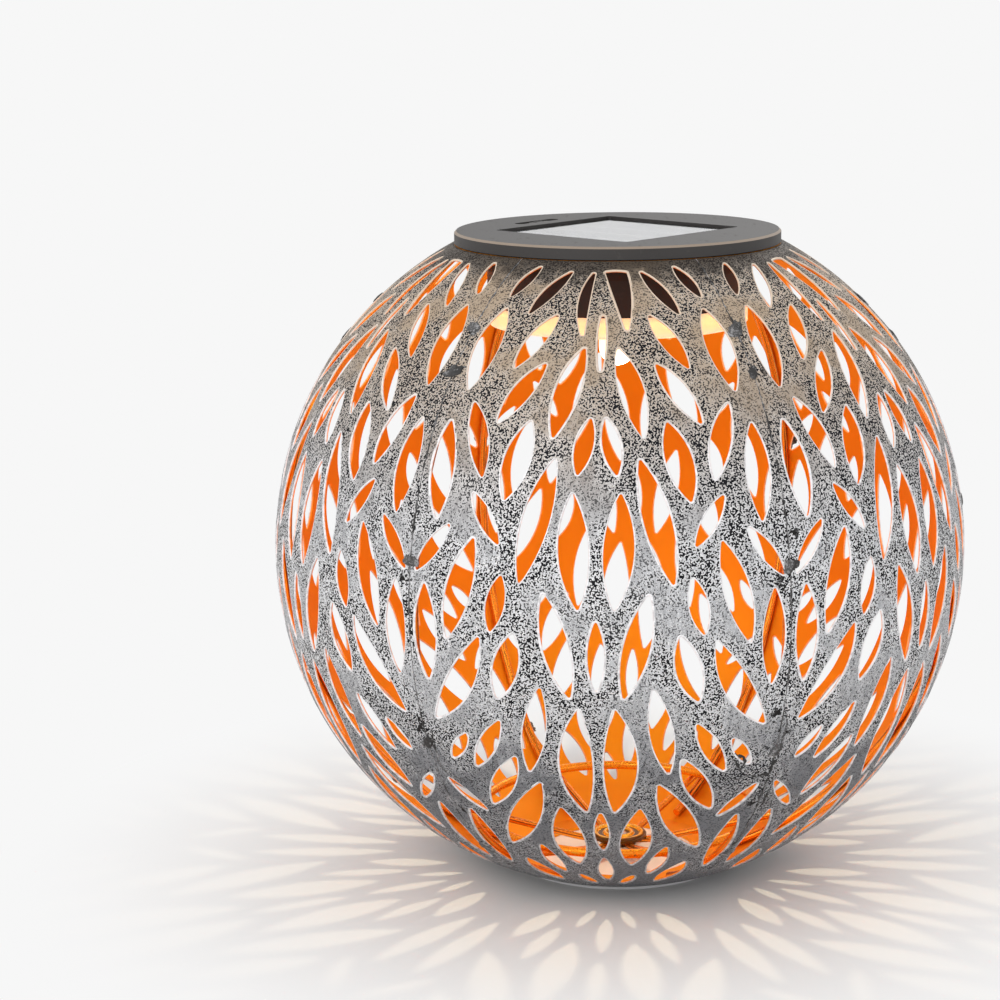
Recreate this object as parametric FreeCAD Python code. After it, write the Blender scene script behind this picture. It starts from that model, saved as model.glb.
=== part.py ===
import FreeCAD, Part
import os
from math import acos, cos, degrees, radians, sin, sqrt, tan

os.makedirs("parts", exist_ok=True)
Vector = FreeCAD.Vector

# A solar garden light: a pierced sheet-metal globe with a lamp unit that drops into its top.
# Millimetres, +Z up, origin on the ground under the middle of the globe, front towards -Y.
# Azimuths are degrees from -Y towards +X, latitudes are degrees above the globe's equator.

# ---- globe -------------------------------------------------------------------------------
globe_radius = 150.0
sheet = 1.2                      # thickness of the globe's sheet metal
foot_radius = 45.0               # where the sphere meets the ground
gore_count = 6
first_gore_azimuth = -3.3        # middle of the gore that faces the front
seam_gap = 0.4                   # between two gores at the equator
tip_round = 1.2                  # radius in the ends of the openings
opening_margin = 0.3             # how far an opening reaches past its drawn outline
rim_gap = 0.5                    # between the gores' upper edge and the disc above it
past = 1.0                       # how far a cut runs past the face that it goes through

# ---- what joins the gores ----------------------------------------------------------------
rib_wire = 1.8                   # radius of the round ribs behind the seams
rib_top_latitude = 58.0
rib_foot_latitude = -70.5
touch_gap = 0.1                  # between parts that are welded or seated on each other
weld_radius = 2.6                # of an eight-sided weld lump, over its corners
weld_crown = 1.7                 # the same for its flat top
weld_height = 0.7
weld_sides = 8
weld_gap = 0.05                  # between the globe and a weld
weld_latitudes = (46.0, 38.0, 8.0, -22.0, -48.0)
foot_ring_sheet = 1.5
foot_ring_width = 14.0
foot_ring_inset = 0.8            # from the globe's outer surface to the ring's edge

# ---- brace in the bottom of the globe ------------------------------------------------------
hub_radius = 12.5
hub_height = 7.8                 # underside of the hub above the ground
hub_ridges = (6.0, 10.5)         # radii of its two pressed ridges
ridge_height = 1.0
ridge_foot = 1.0                 # half a ridge's width where it rises
ridge_crown = 0.5                # half its width on top
arm_wire = 1.5                   # radius of the six brace arms
arm_start = 4.2                  # their inner ends, from the axis
arm_bend = 15.0                  # where they start to rise
hoop_radius = 62.0
hoop_height = 21.0
hoop_wire = 2.0                  # radius of the hoop's round wire
rivet_radius = 1.8
rivet_head = 3.6
rivet_head_height = 0.8
rivet_head_taper = 1.0           # how much smaller the head's face is than its foot
washer_radius = 8.0

# ---- collar --------------------------------------------------------------------------------
collar_sheet = 1.2
collar_sleeve = 9.0              # length of the sleeve that guides the housing
collar_clearance = 1.2           # between sleeve and housing
gasket_inset = 2.8               # from the sleeve to the gasket
gasket_width = 6.0
gasket_channel = 2.4             # how far the gasket reaches up into the disc
channel_clearance = 0.5
rest_gap = 0.1                   # between the disc and the gasket it rests on
gasket_height = 3.3

# ---- lamp unit: disc -----------------------------------------------------------------------
disc_radius = 70.0
disc_overhang = 14.0             # how far the disc stands out past the housing
disc_thickness = 5.3
disc_chamfer = 0.9
panel_azimuth = 4.0              # turn of the panel's diagonal from +Y towards -X
pocket_depth = 3.9
pocket_corner = 1.5
slot_distance = 47.0             # from the axis to the middle of the switch slot
slot_length = 26.0
slot_width = 5.0
slot_depth = 1.6

# ---- lamp unit: solar panel ----------------------------------------------------------------
panel_side = 70.0
panel_margin = 2.0               # between the panel and the wall of its pocket
backing_thickness = 1.6
cell_border = 2.0                # between the panel's edge and its cells
cell_columns = 4
cell_spacing = 0.5
cell_thickness = 0.3
busbar_width = 1.2
busbar_thickness = 0.06
busbar_inset = 1.0
cover_thickness = 1.3
cover_air = 0.1
sealant_height = 2.2
sealant_gap = 0.15

# ---- lamp unit: housing --------------------------------------------------------------------
housing_depth = 25.7             # from the disc's underside to the housing's floor
housing_wall = 2.0
seal_thickness = 0.6
seal_inset = 0.3
boss_radius = 3.0
boss_spare = 1.8                 # between a screw's head and the diffuser's flange
boss_angles = (-17.0, 73.0, 207.0)
screw_shank = 1.4
screw_head = 2.7
screw_head_height = 1.7
screw_slot = (4.0, 0.7, 0.7)     # length, width and depth of the slot in its head
screw_bite = 3.2                 # how far a housing screw reaches into the disc
thread_clearance = 0.05
bore_clearance = 0.3
hole_spare = 0.4                 # how much deeper a blind hole is than its screw

# ---- lamp unit: diffuser, bulb and reflector -------------------------------------------------
diffuser_height = 9.0
diffuser_flange = 5.5
diffuser_wall = 1.8
diffuser_lip = 3.0
bulb_radius = 8.0
bulb_wall = 1.0
bulb_reach = 28.0                # from the housing's floor to the tip of the bulb
socket_depth = 4.0
socket_wall = 1.2
socket_flange = 2.6
socket_web_hole = 4.0
fit_clearance = 0.1
reflector_depth = 7.0
reflector_sheet = 0.8
reflector_radius = 14.9
reflector_flange = 2.7
led_board_thickness = 1.2
led_chip = 2.8
led_chip_height = 0.8
led_chip_count = 3
led_chip_distance = 2.0          # from the axis to each chip's near edge

# ---- lamp unit: battery, tray and door -------------------------------------------------------
cell_radius = 7.25
cell_length = 49.3
cell_nub = 1.2
cell_nub_radius = 2.75
battery_offset = 27.75           # from the axis to the battery's axis, towards -Y
bay_clearance = 0.75             # beside the battery
contact_sheet = 0.5
contact_width = 8.0
contact_lift = 1.0               # lower edge of the contacts above the floor
contact_tab = 2.5                # how far the contacts stand up out of the tray
spring_length = 4.5
spring_rise = 5.0                # half the height of the bent strip
spring_sheet = 0.6
spring_knee = 1.0                # the bend touches the cell this far above its axis
spring_root = 0.84               # height of the strip where it leaves the plate
spring_width = 4.0
bay_slack = 0.5
tray_wall = 1.4
door_clearance = 0.3
door_latch_clearance = 0.9
door_flange = 1.6                # how far the door overlaps the floor round its opening
door_flange_thickness = 1.3
door_plug_height = 1.45          # top of the plug above the floor's underside
battery_lift = 0.5               # between the plug and the battery
door_seal_thickness = 0.6
door_seal_width = 1.2
door_seal_gap = 0.2
door_lip_length = 1.9
door_lip_width = 12.0
hinge_radius = 1.5
hinge_pin = 0.8
hinge_fit = 0.08                 # running clearance in the door's knuckles
pin_fit = 0.02                   # clearance in the ears, where the pin is fixed
hinge_drop = 1.75                # hinge axis below the floor's underside
hinge_outset = 1.85              # hinge axis outside the door's flange
knuckle_from = 11.0
knuckle_to = 20.0
ear_gap = 0.6
ear_width = 3.0

# ---- lamp unit: control board ----------------------------------------------------------------
board_half_length = 22.0
board_front = 12.0
board_back = 38.0
board_thickness = 1.6
standoff_height = 5.0
standoff_radius = 2.5
board_screw_places = ((20.0, 15.2), (-10.0, 35.2))
board_screw_shank = 0.9
board_screw_head = 1.9
board_screw_head_height = 1.3
board_screw_slot = (2.8, 0.5, 0.5)
board_screw_length = 4.2
plug_size = (6.0, 4.5, 5.0)
plug_entry = 3.0                 # height of a lead above the board where it enters its plug
front_plug_places = (-16.0, 0.0, 12.5)
plug_inset = 1.2
side_plug_y = 30.5
# Places on the board, from the axis, and sizes of what is soldered there.
coil_place, coil_radius, coil_height = (4.0, 27.0), 3.0, 5.0
capacitor_place, capacitor_radius, capacitor_height = (10.0, 33.0), 2.5, 8.0
controller_place, controller_size = (-6.5, 26.0), (5.0, 4.0, 1.6)
resistor_places, resistor_size = ((-1.4, 32.8), (-1.4, 35.8)), (3.2, 1.6, 0.8)

# ---- lamp unit: switch -----------------------------------------------------------------------
switch_length = 13.0
switch_width = 7.0
switch_height = 5.8
switch_ear_length = 20.0
switch_ear_sheet = 0.6
switch_screw_place = 8.2
switch_screw_bite = 2.0          # how far these screws reach into the disc
switch_travel = 4.0
knob_length = 12.0
knob_thickness = 1.0
knob_ridges = 3
knob_ridge_pitch = 2.0
knob_ridge_width = 0.7
knob_ridge_length = 3.4
knob_ridge_height = 0.3
knob_gap = 0.15
stem_length = 3.0
stem_width = 1.8
stem_reach = 1.8                 # how far the stem reaches into the switch
stem_clearance = 0.5             # below the stem
switch_screw_head = 1.4

# ---- leads -----------------------------------------------------------------------------------
lead_radius = 0.6
lead_spacing = 1.8
tab_lead_drop = 1.0              # from a contact's upper end to its lead
tab_lead_reach = 3.0             # how far that lead lies along the contact
battery_lead_bends = (-6.0, 2.5)  # where the battery leads turn, along Y
panel_lead_place = (17.0, 24.0)
panel_lead_spacing = 2.7
panel_lead_top = 0.9             # where a panel lead ends, above the pocket's floor
panel_lead_drop = 4.5            # its straight run below the disc
panel_lead_shift = (2.2, 0.8)
panel_lead_rise = 5.5            # its straight run above the board

# ---- heights worked out from the sizes above -------------------------------------------------
core_inset = tip_round - opening_margin               # from an opening's drawn outline to its core
housing_radius = disc_radius - disc_overhang
pocket_side = panel_side + 2 * panel_margin
cell_area = panel_side - 2 * cell_border
centre_height = sqrt(globe_radius**2 - foot_radius**2)
inner_radius = globe_radius - sheet
disc_bottom = centre_height + sqrt(globe_radius**2 - disc_radius**2)
disc_top = disc_bottom + disc_thickness
collar_top = disc_bottom + gasket_channel - rest_gap - gasket_height
collar_bore = housing_radius + collar_clearance
housing_bottom = disc_bottom - housing_depth
housing_top = disc_bottom - seal_thickness
housing_bore = housing_radius - housing_wall
floor_top = housing_bottom + housing_wall
screw_circle = housing_radius - diffuser_flange - screw_head - boss_spare
panel_turn = 45.0 + panel_azimuth                     # direction of one side's normal
slot_direction = panel_turn + 90.0
pocket_floor = disc_top - pocket_depth
bay_half_width = cell_radius + bay_clearance
bay_half_length = (cell_length + cell_nub + spring_length + 2 * contact_sheet + bay_slack) / 2
battery_height = housing_bottom + door_plug_height + battery_lift + cell_radius
bay_top = battery_height + cell_radius + bay_clearance
board_bottom = floor_top + standoff_height
board_top = board_bottom + board_thickness
lead_height = board_top + plug_entry
window_length = stem_length + switch_travel + 2 * bore_clearance
window_width = stem_width + 2 * bore_clearance
hinge_y = -battery_offset - bay_half_width - door_flange - hinge_outset
hinge_z = housing_bottom - hinge_drop

# The pattern of openings is drawn for a globe with these radii, and is stretched to fit any other.
drawn_globe, drawn_disc, drawn_foot = 150.0, 70.0, 45.0
pattern_scale = globe_radius / drawn_globe
upward_stretch = acos(disc_radius / globe_radius) / acos(drawn_disc / drawn_globe)
downward_stretch = acos(foot_radius / globe_radius) / acos(drawn_foot / drawn_globe)

# The openings of half a gore: upper tip, lower tip (azimuth from the gore's middle, latitude),
# then how far the side away from the middle and the side next to it bulge out.
leaves = (
    ((20.9, 60.2), (24.8, 52.8), 2.8, 2.8),
    ((10.2, 59.2), (17.8, 49.5), 3.1, 3.1),
    ((24.1, 50.4), (25.3, 35.2), 5.7, 5.7),
    ((10.6, 49.5), (17.2, 39.4), 3.9, 3.9),
    ((3.4, 43.3), (7.7, 28.3), 5.4, 4.6),
    ((10.8, 40.4), (17.9, 30.3), 4.2, 4.2),
    ((23.3, 33.3), (18.9, 21.7), 3.8, 4.9),
    ((26.9, 30.0), (26.0, 15.0), 5.2, 5.3),
    ((11.8, 30.8), (14.8, 18.5), 5.5, 5.5),
    ((1.3, 31.5), (3.2, 22.7), 3.8, 3.7),
    ((6.9, 25.1), (11.6, 6.4), 5.7, 5.5),
    ((20.1, 19.3), (15.1, 11.9), 3.2, 3.2),
    ((3.8, 20.0), (2.7, 2.7), 6.6, 5.7),
    ((23.5, 14.3), (29.0, 6.8), 3.2, 3.2),
    ((19.2, 12.6), (23.4, -3.0), 5.5, 5.5),
    ((14.4, 7.4), (16.2, -1.3), 4.0, 4.0),
    ((7.9, 5.0), (4.1, -11.1), 5.4, 5.4),
    ((27.3, 5.0), (27.2, -10.0), 4.9, 5.3),
    ((18.0, -2.3), (26.9, -16.7), 3.6, 7.5),
    ((12.5, -1.3), (15.6, -11.9), 4.8, 5.6),
    ((8.6, -9.6), (11.7, -24.9), 4.8, 4.8),
    ((2.8, -12.9), (2.6, -33.3), 9.1, 4.5),
    ((21.8, -18.9), (25.6, -24.0), 2.7, 2.7),
    ((15.6, -15.8), (21.3, -25.0), 3.7, 3.7),
    ((13.7, -22.2), (20.4, -33.2), 4.7, 4.7),
    ((28.2, -28.6), (22.3, -35.2), 2.6, 2.6),
    ((10.1, -27.2), (20.6, -44.1), 6.0, 6.0),
    ((26.3, -35.6), (26.6, -53.0), 4.2, 5.0),
    ((7.2, -32.5), (6.4, -49.9), 6.4, 6.4),
    ((13.6, -43.4), (11.4, -54.6), 3.5, 3.5),
    ((19.6, -49.5), (15.4, -60.8), 4.6, 4.6),
    ((7.4, -55.3), (4.4, -62.0), 2.4, 2.4),
)
# Openings on the gore's middle line: upper and lower latitude, bulge of each side.
middle_leaves = (
    (49.5, 39.2, 1.8),
    (1.0, -9.9, 3.5),
    (-33.5, -44.2, 3.1),
    (-47.0, -58.7, 3.2),
)
# The two openings that aren't mirror images of each other: a leaf on the left, a wedge on the right.
left_leaf = ((3.6, 59.0), (4.3, 45.5), 4.0, 0.8)
wedge_corners = ((-0.5, 59.2), (6.2, 59.2), (5.5, 45.4))
wedge_bulges = (0.6, 1.8, 0.4)


def save(name, shape):
    shape.exportStep("parts/" + name + ".step")


def ring(inner, outer, low, high):
    """A flat ring about the axis."""
    outside = Part.makeCylinder(outer, high - low, Vector(0, 0, low))
    return outside.cut(Part.makeCylinder(inner, high - low, Vector(0, 0, low)))


def disc(radius, low, high, x=0.0, y=0.0):
    return Part.makeCylinder(radius, high - low, Vector(x, y, low))


def block(x_from, x_to, y_from, y_to, z_from, z_to):
    return Part.makeBox(x_to - x_from, y_to - y_from, z_to - z_from, Vector(x_from, y_from, z_from))


def rod(radius, left, right, y, z):
    """A round bar along X."""
    return Part.makeCylinder(radius, right - left, Vector(left, y, z), Vector(1, 0, 0))


def bay(length_margin, width_margin, low, high):
    """A box about the battery bay, larger than it by the margins on each side."""
    half_length = bay_half_length + length_margin
    half_width = bay_half_width + width_margin
    middle = -battery_offset
    return block(-half_length, half_length, middle - half_width, middle + half_width, low, high)


def turned(points):
    """A solid of revolution from a closed outline of (radius, height) corners."""
    corners = [Vector(radius, 0, height) for radius, height in points]
    face = Part.Face(Part.makePolygon(corners + corners[:1]))
    return face.revolve(Vector(0, 0, 0), Vector(0, 0, 1), 360)


def spun(shape, angle):
    """A copy turned about the axis, counterclockwise from above."""
    copy = shape.copy()
    copy.rotate(Vector(0, 0, 0), Vector(0, 0, 1), angle)
    return copy


def polar(distance, angle):
    return distance * cos(radians(angle)), distance * sin(radians(angle))


def seam_azimuths():
    step = 360.0 / gore_count
    return [first_gore_azimuth + step * (number + 0.5) for number in range(gore_count)]


def bent_wire(points, radius):
    """A round wire along straight runs that are joined by tangent arcs as large as the runs allow."""
    edges = []
    start = points[0]
    for before, corner, after in zip(points, points[1:], points[2:]):
        back = (before - corner).normalize()
        onward = (after - corner).normalize()
        cut = 0.45 * min((before - corner).Length, (after - corner).Length)
        half_opening = back.getAngle(onward) / 2
        bisector = (back + onward).normalize()
        arc_radius = cut * tan(half_opening)
        crown = corner + bisector * (cut / cos(half_opening) - arc_radius)
        entry = corner + back * cut
        leave = corner + onward * cut
        edges.append(Part.LineSegment(start, entry).toShape())
        edges.append(Part.Arc(entry, crown, leave).toShape())
        start = leave
    edges.append(Part.LineSegment(start, points[-1]).toShape())
    first_run = points[1] - points[0]
    section = Part.Wire(Part.makeCircle(radius, points[0], first_run))
    sweep = Part.BRepOffsetAPI.MakePipeShell(Part.Wire(edges))
    sweep.add(section)
    sweep.build()
    sweep.makeSolid()
    return sweep.shape()


# ---- globe -----------------------------------------------------------------------------------

def on_globe(azimuth, latitude, radius=globe_radius):
    """A point on a sphere about the globe's centre."""
    level = radius * cos(radians(latitude))
    height = centre_height + radius * sin(radians(latitude))
    return Vector(level * sin(radians(azimuth)), -level * cos(radians(azimuth)), height)


def on_pattern(azimuth, latitude, radius=globe_radius):
    """The same for a place in the drawn pattern, stretched between the disc and the foot."""
    stretch = upward_stretch if latitude > 0 else downward_stretch
    return on_globe(azimuth, latitude * stretch, radius)


def bowed(start, end, bulge):
    """An arc from start to end whose middle lies off the chord by the vector bulge."""
    return Part.Arc(start, (start + end) / 2 + bulge, end).toShape()


def through_hole(core, normal):
    """A prism that cuts through the sheet, grown round its core so that its ends are round."""
    reach = 4 * sheet + 2 * past
    face = Part.Face(core.makeOffset2D(tip_round))
    face.translate(normal * -reach)
    return face.extrude(normal * 2 * reach)


def leaf_hole(upper, lower, outer_bulge, inner_bulge, hand):
    """A leaf-shaped hole; hand is 1 right of the gore's middle and -1 left of it."""
    top = on_pattern(hand * upper[0], upper[1])
    bottom = on_pattern(hand * lower[0], lower[1])
    normal = (top + bottom) / 2 - Vector(0, 0, centre_height)
    normal.normalize()
    outward = (bottom - top).cross(normal).normalize()
    if outward.x * hand < 0:
        outward = outward * -1
    inset = (bottom - top).normalize() * core_inset
    top += inset
    bottom -= inset
    outer = outward * (outer_bulge * pattern_scale - core_inset)
    inner = outward * (core_inset - inner_bulge * pattern_scale)
    return through_hole(Part.Wire([bowed(top, bottom, outer), bowed(bottom, top, inner)]), normal)


def wedge_hole():
    """The three-cornered hole beside the middle, under the collar."""
    corners = [on_pattern(azimuth, latitude) for azimuth, latitude in wedge_corners]
    middle = (corners[0] + corners[1] + corners[2]) / 3
    normal = middle - Vector(0, 0, centre_height)
    normal.normalize()
    flat = [corner - normal * (corner - middle).dot(normal) for corner in corners]
    sides = []
    for number, bulge in enumerate(wedge_bulges):
        start = flat[number]
        end = flat[(number + 1) % 3]
        outward = (end - start).cross(normal).normalize()
        if outward.dot((start + end) / 2 - middle) < 0:
            outward = outward * -1
        sides.append(bowed(start, end, outward * bulge * pattern_scale))
    return through_hole(Part.Wire(sides).makeOffset2D(-core_inset), normal)


def gore_sheet():
    """One sixth of the globe's shell, with its middle at azimuth 0, before it is pierced."""
    span = 360.0 / gore_count - degrees(seam_gap / globe_radius)
    low = foot_ring_sheet
    high = disc_bottom - rim_gap

    def edge_point(radius, height):
        return Vector(sqrt(radius**2 - (height - centre_height)**2), 0, height)

    def arc(radius, start, end):
        middle = Vector(radius, 0, centre_height)
        return Part.Arc(edge_point(radius, start), middle, edge_point(radius, end)).toShape()

    def edge(height, start, end):
        return Part.LineSegment(edge_point(start, height), edge_point(end, height)).toShape()

    edges = [
        arc(globe_radius, low, high), edge(high, globe_radius, inner_radius),
        arc(inner_radius, high, low), edge(low, inner_radius, globe_radius)]
    shell = Part.Face(Part.Wire(edges)).revolve(Vector(0, 0, 0), Vector(0, 0, 1), span)
    return spun(shell, -90 - span / 2)


def gore_panel():
    holes = [leaf_hole(*leaf, hand) for leaf in leaves for hand in (1, -1)]
    holes += [leaf_hole((0, high), (0, low), bulge, bulge, 1) for high, low, bulge in middle_leaves]
    holes += [leaf_hole(*left_leaf, -1), wedge_hole()]
    return gore_sheet().cut(holes)


def seam_rib():
    """A round rib along the inside of the sheet, at azimuth 0."""
    run = inner_radius - touch_gap - rib_wire
    foot = on_pattern(0, rib_foot_latitude, run)
    tangent = (foot - Vector(0, 0, centre_height)).cross(Vector(1, 0, 0))
    section = Part.Face(Part.Wire(Part.makeCircle(rib_wire, foot, tangent)))
    turn = rib_top_latitude * upward_stretch - rib_foot_latitude * downward_stretch
    return section.revolve(Vector(0, 0, centre_height), Vector(-1, 0, 0), turn)


def seam_welds():
    """Lumps of solder with flat sides, which bridge the seams on the outside of the globe."""
    corners = [polar(1.0, 360.0 * number / weld_sides) for number in range(weld_sides + 1)]
    foot = Part.makePolygon([Vector(x * weld_radius, y * weld_radius, 0) for x, y in corners])
    crown = Part.makePolygon([Vector(x * weld_crown, y * weld_crown, weld_height) for x, y in corners])
    lump = Part.makeLoft([foot, crown], True, True)
    lumps = []
    for azimuth in seam_azimuths():
        for latitude in weld_latitudes:
            place = on_pattern(azimuth, latitude, globe_radius + weld_gap)
            outward = place - Vector(0, 0, centre_height)
            copy = lump.copy()
            copy.Placement = FreeCAD.Placement(place, FreeCAD.Rotation(Vector(0, 0, 1), outward))
            lumps.append(copy)
    return Part.makeCompound(lumps)


def foot_ring():
    outer = sqrt(globe_radius**2 - (centre_height - foot_ring_sheet)**2) - foot_ring_inset
    return ring(outer - foot_ring_width, outer, 0.0, foot_ring_sheet)


def top_collar():
    """A flange welded inside the gores' upper edge, with a sleeve that guides the housing."""
    def reach(height):
        return sqrt((inner_radius - touch_gap)**2 - (height - centre_height)**2)

    flange_low = collar_top - collar_sheet
    return turned((
        (collar_bore, collar_top), (reach(collar_top), collar_top), (reach(collar_top), flange_low),
        (collar_bore + collar_sheet, flange_low), (collar_bore + collar_sheet, collar_top - collar_sleeve),
        (collar_bore, collar_top - collar_sleeve)))


def collar_gasket():
    inner = collar_bore + gasket_inset
    return ring(inner, inner + gasket_width, collar_top, collar_top + gasket_height)


# ---- brace -----------------------------------------------------------------------------------

def base_hub():
    """A pressed disc with two ridges, clamped on the brace arms."""
    top = hub_height + collar_sheet
    shape = ring(rivet_radius + thread_clearance, hub_radius, hub_height, top)
    for radius in hub_ridges:
        ridge = turned((
            (radius - ridge_foot, top), (radius + ridge_foot, top),
            (radius + ridge_crown, top + ridge_height), (radius - ridge_crown, top + ridge_height)))
        shape = shape.fuse(ridge)
    return shape.removeSplitter()


def hub_washer():
    top = hub_height - 2 * (arm_wire + touch_gap)
    return ring(rivet_radius + thread_clearance, washer_radius, top - collar_sheet, top)


def hub_rivet():
    low = hub_height - 2 * (arm_wire + touch_gap) - collar_sheet
    high = hub_height + collar_sheet
    face = rivet_head - rivet_head_taper
    bottom = low - rivet_head_height
    top = high + rivet_head_height
    return turned((
        (0, bottom), (face, bottom), (rivet_head, low), (rivet_radius, low),
        (rivet_radius, high), (rivet_head, high), (face, top), (0, top)))


def brace_arms():
    """Six wires from under the hub, under the hoop and out to the ribs."""
    level = hub_height - touch_gap - arm_wire
    hoop_seat = hoop_height - hoop_wire - touch_gap - arm_wire
    slope = (hoop_seat - level) / (hoop_radius - arm_bend)
    stop = inner_radius - 2 * (touch_gap + rib_wire) - arm_wire
    # where the rising run meets a sphere of radius stop about the globe's centre
    drop = level - slope * arm_bend - centre_height
    quadratic = 1 + slope**2
    linear = 2 * slope * drop
    reach = (-linear + sqrt(linear**2 - 4 * quadratic * (drop**2 - stop**2))) / (2 * quadratic)
    points = [
        Vector(0, -arm_start, level), Vector(0, -arm_bend, level),
        Vector(0, -reach, level + slope * (reach - arm_bend))]
    arm = bent_wire(points, arm_wire)
    return Part.makeCompound([spun(arm, azimuth) for azimuth in seam_azimuths()])


def brace_hoop():
    return Part.makeTorus(hoop_radius, hoop_wire, Vector(0, 0, hoop_height), Vector(0, 0, 1))


# ---- lamp unit: disc and solar panel ---------------------------------------------------------

def panel_square(side, low, high, corner=0.0):
    """A square plate about the axis, turned as the solar panel is."""
    plate = block(-side / 2, side / 2, -side / 2, side / 2, low, high)
    if corner:
        uprights = [edge for edge in plate.Edges if edge.BoundBox.ZLength > (high - low) / 2]
        plate = plate.makeFillet(corner, uprights)
    return spun(plate, panel_turn)


def at_slot(shape):
    """Carries a shape from the axis to the switch slot, with its length along the slot."""
    copy = shape.copy()
    copy.translate(Vector(0, slot_distance, 0))
    return spun(copy, slot_direction - 90)


def slot_shape(length, width, low, high):
    """An upright bar with round ends, its length along X."""
    straight = (length - width) / 2
    shape = block(-straight, straight, -width / 2, width / 2, low, high)
    for end in (-straight, straight):
        shape = shape.fuse(disc(width / 2, low, high, end, 0.0))
    return shape.removeSplitter()


def lead_places():
    """Where the two panel leads leave the pocket's floor."""
    x, y = panel_lead_place
    return (x, y), (x, y + panel_lead_spacing)


def top_bezel():
    shape = disc(disc_radius, disc_bottom, disc_top)
    rim = [edge for edge in shape.Edges if edge.BoundBox.ZMin > disc_top - disc_chamfer]
    shape = shape.makeChamfer(disc_chamfer, rim)
    channel_inner = collar_bore + gasket_inset - channel_clearance
    channel_outer = channel_inner + gasket_width + 2 * channel_clearance
    cuts = [
        panel_square(pocket_side, pocket_floor, disc_top + past, pocket_corner),
        ring(channel_inner, channel_outer, disc_bottom - past, disc_bottom + gasket_channel),
        at_slot(slot_shape(slot_length, slot_width, disc_top - slot_depth, disc_top + past)),
        at_slot(block(-window_length / 2, window_length / 2, -window_width / 2, window_width / 2,
                      disc_bottom - past, disc_top))]
    lead_hole = lead_radius + bore_clearance
    cuts += [disc(lead_hole, disc_bottom - past, disc_top - past, x, y) for x, y in lead_places()]
    bite = disc_bottom + screw_bite + hole_spare
    for angle in boss_angles:
        x, y = polar(screw_circle, angle)
        cuts.append(disc(screw_shank + thread_clearance, disc_bottom - past, bite, x, y))
    pilot = board_screw_shank + thread_clearance
    for side in (-1, 1):
        top = disc_bottom + switch_screw_bite + hole_spare
        cuts.append(at_slot(disc(pilot, disc_bottom - past, top, side * switch_screw_place)))
    return shape.cut(cuts)


def solar_backing():
    shape = panel_square(panel_side, pocket_floor, pocket_floor + backing_thickness)
    return shape.cut([disc(lead_radius + thread_clearance, pocket_floor - past, pocket_floor + past, x, y)
                      for x, y in lead_places()])


def solar_cells():
    """Strips of silicon side by side on the backing."""
    low = pocket_floor + backing_thickness
    width = (cell_area - (cell_columns - 1) * cell_spacing) / cell_columns
    strips = []
    for number in range(cell_columns):
        left = -cell_area / 2 + number * (width + cell_spacing)
        strip = block(left, left + width, -cell_area / 2, cell_area / 2, low, low + cell_thickness)
        strips.append(spun(strip, panel_turn))
    return Part.makeCompound(strips)


def cell_busbars():
    low = pocket_floor + backing_thickness + cell_thickness
    width = (cell_area - (cell_columns - 1) * cell_spacing) / cell_columns
    bars = []
    for number in range(cell_columns):
        middle = -cell_area / 2 + number * (width + cell_spacing) + width / 2
        left = middle - busbar_width / 2
        half = cell_area / 2 - busbar_inset
        bar = block(left, left + busbar_width, -half, half, low, low + busbar_thickness)
        bars.append(spun(bar, panel_turn))
    return Part.makeCompound(bars)


def solar_cover():
    """The clear cover, hollowed from below for the cells."""
    low = pocket_floor + backing_thickness
    shape = panel_square(panel_side, low, low + cover_thickness)
    hollow_top = low + cell_thickness + busbar_thickness + cover_air
    return shape.cut(panel_square(cell_area + 2 * cover_air, low, hollow_top))


def panel_sealant():
    low = pocket_floor
    outside = panel_square(pocket_side - 2 * sealant_gap, low, low + sealant_height, pocket_corner)
    return outside.cut(panel_square(panel_side + 2 * sealant_gap, low, low + sealant_height))


# ---- lamp unit: housing, diffuser and bulb -----------------------------------------------------

def door_opening():
    return bay(0, 0, housing_bottom - past, floor_top + past)


def hinge_ears():
    """Two ears under the floor that hold the ends of the door's hinge pin."""
    ears = []
    for side in (-1, 1):
        near = knuckle_to + ear_gap
        left = min(side * near, side * (near + ear_width))
        right = left + ear_width
        web = block(left, right, hinge_y - hinge_radius, hinge_y + hinge_radius, hinge_z, housing_bottom)
        ears.append(rod(hinge_radius, left, right, hinge_y, hinge_z).fuse(web))
    return ears


def housing_can():
    """The round housing below the disc: a cup with tubes for its screws and posts for the board."""
    shape = disc(housing_radius, housing_bottom, housing_top)
    shape = shape.cut(disc(housing_bore, floor_top, housing_top + past))
    places = [polar(screw_circle, angle) for angle in boss_angles]
    tubes = [disc(boss_radius, housing_bottom, housing_top, x, y) for x, y in places]
    posts = [disc(standoff_radius, floor_top, board_bottom, x, y) for x, y in board_screw_places]
    shape = shape.fuse(tubes + posts + hinge_ears())
    socket_hole = bulb_radius + socket_wall + 4 * fit_clearance
    cuts = [door_opening(), disc(socket_hole, housing_bottom - past, floor_top + past)]
    head_seat = housing_bottom + screw_head_height + bore_clearance
    for x, y in places:
        cuts.append(disc(screw_shank + bore_clearance, housing_bottom - past, housing_top + past, x, y))
        cuts.append(disc(screw_head + thread_clearance, housing_bottom - past, head_seat, x, y))
    pilot_low = board_top - board_screw_length - hole_spare
    for x, y in board_screw_places:
        cuts.append(disc(board_screw_shank + thread_clearance, pilot_low, board_bottom + past, x, y))
    half_pin = knuckle_to + ear_gap + ear_width
    cuts.append(rod(hinge_pin + pin_fit, -half_pin - past, half_pin + past, hinge_y, hinge_z))
    return shape.cut(cuts).removeSplitter()


def housing_seal():
    return ring(housing_bore + seal_inset, housing_radius - seal_inset, housing_top, disc_bottom)


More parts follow.
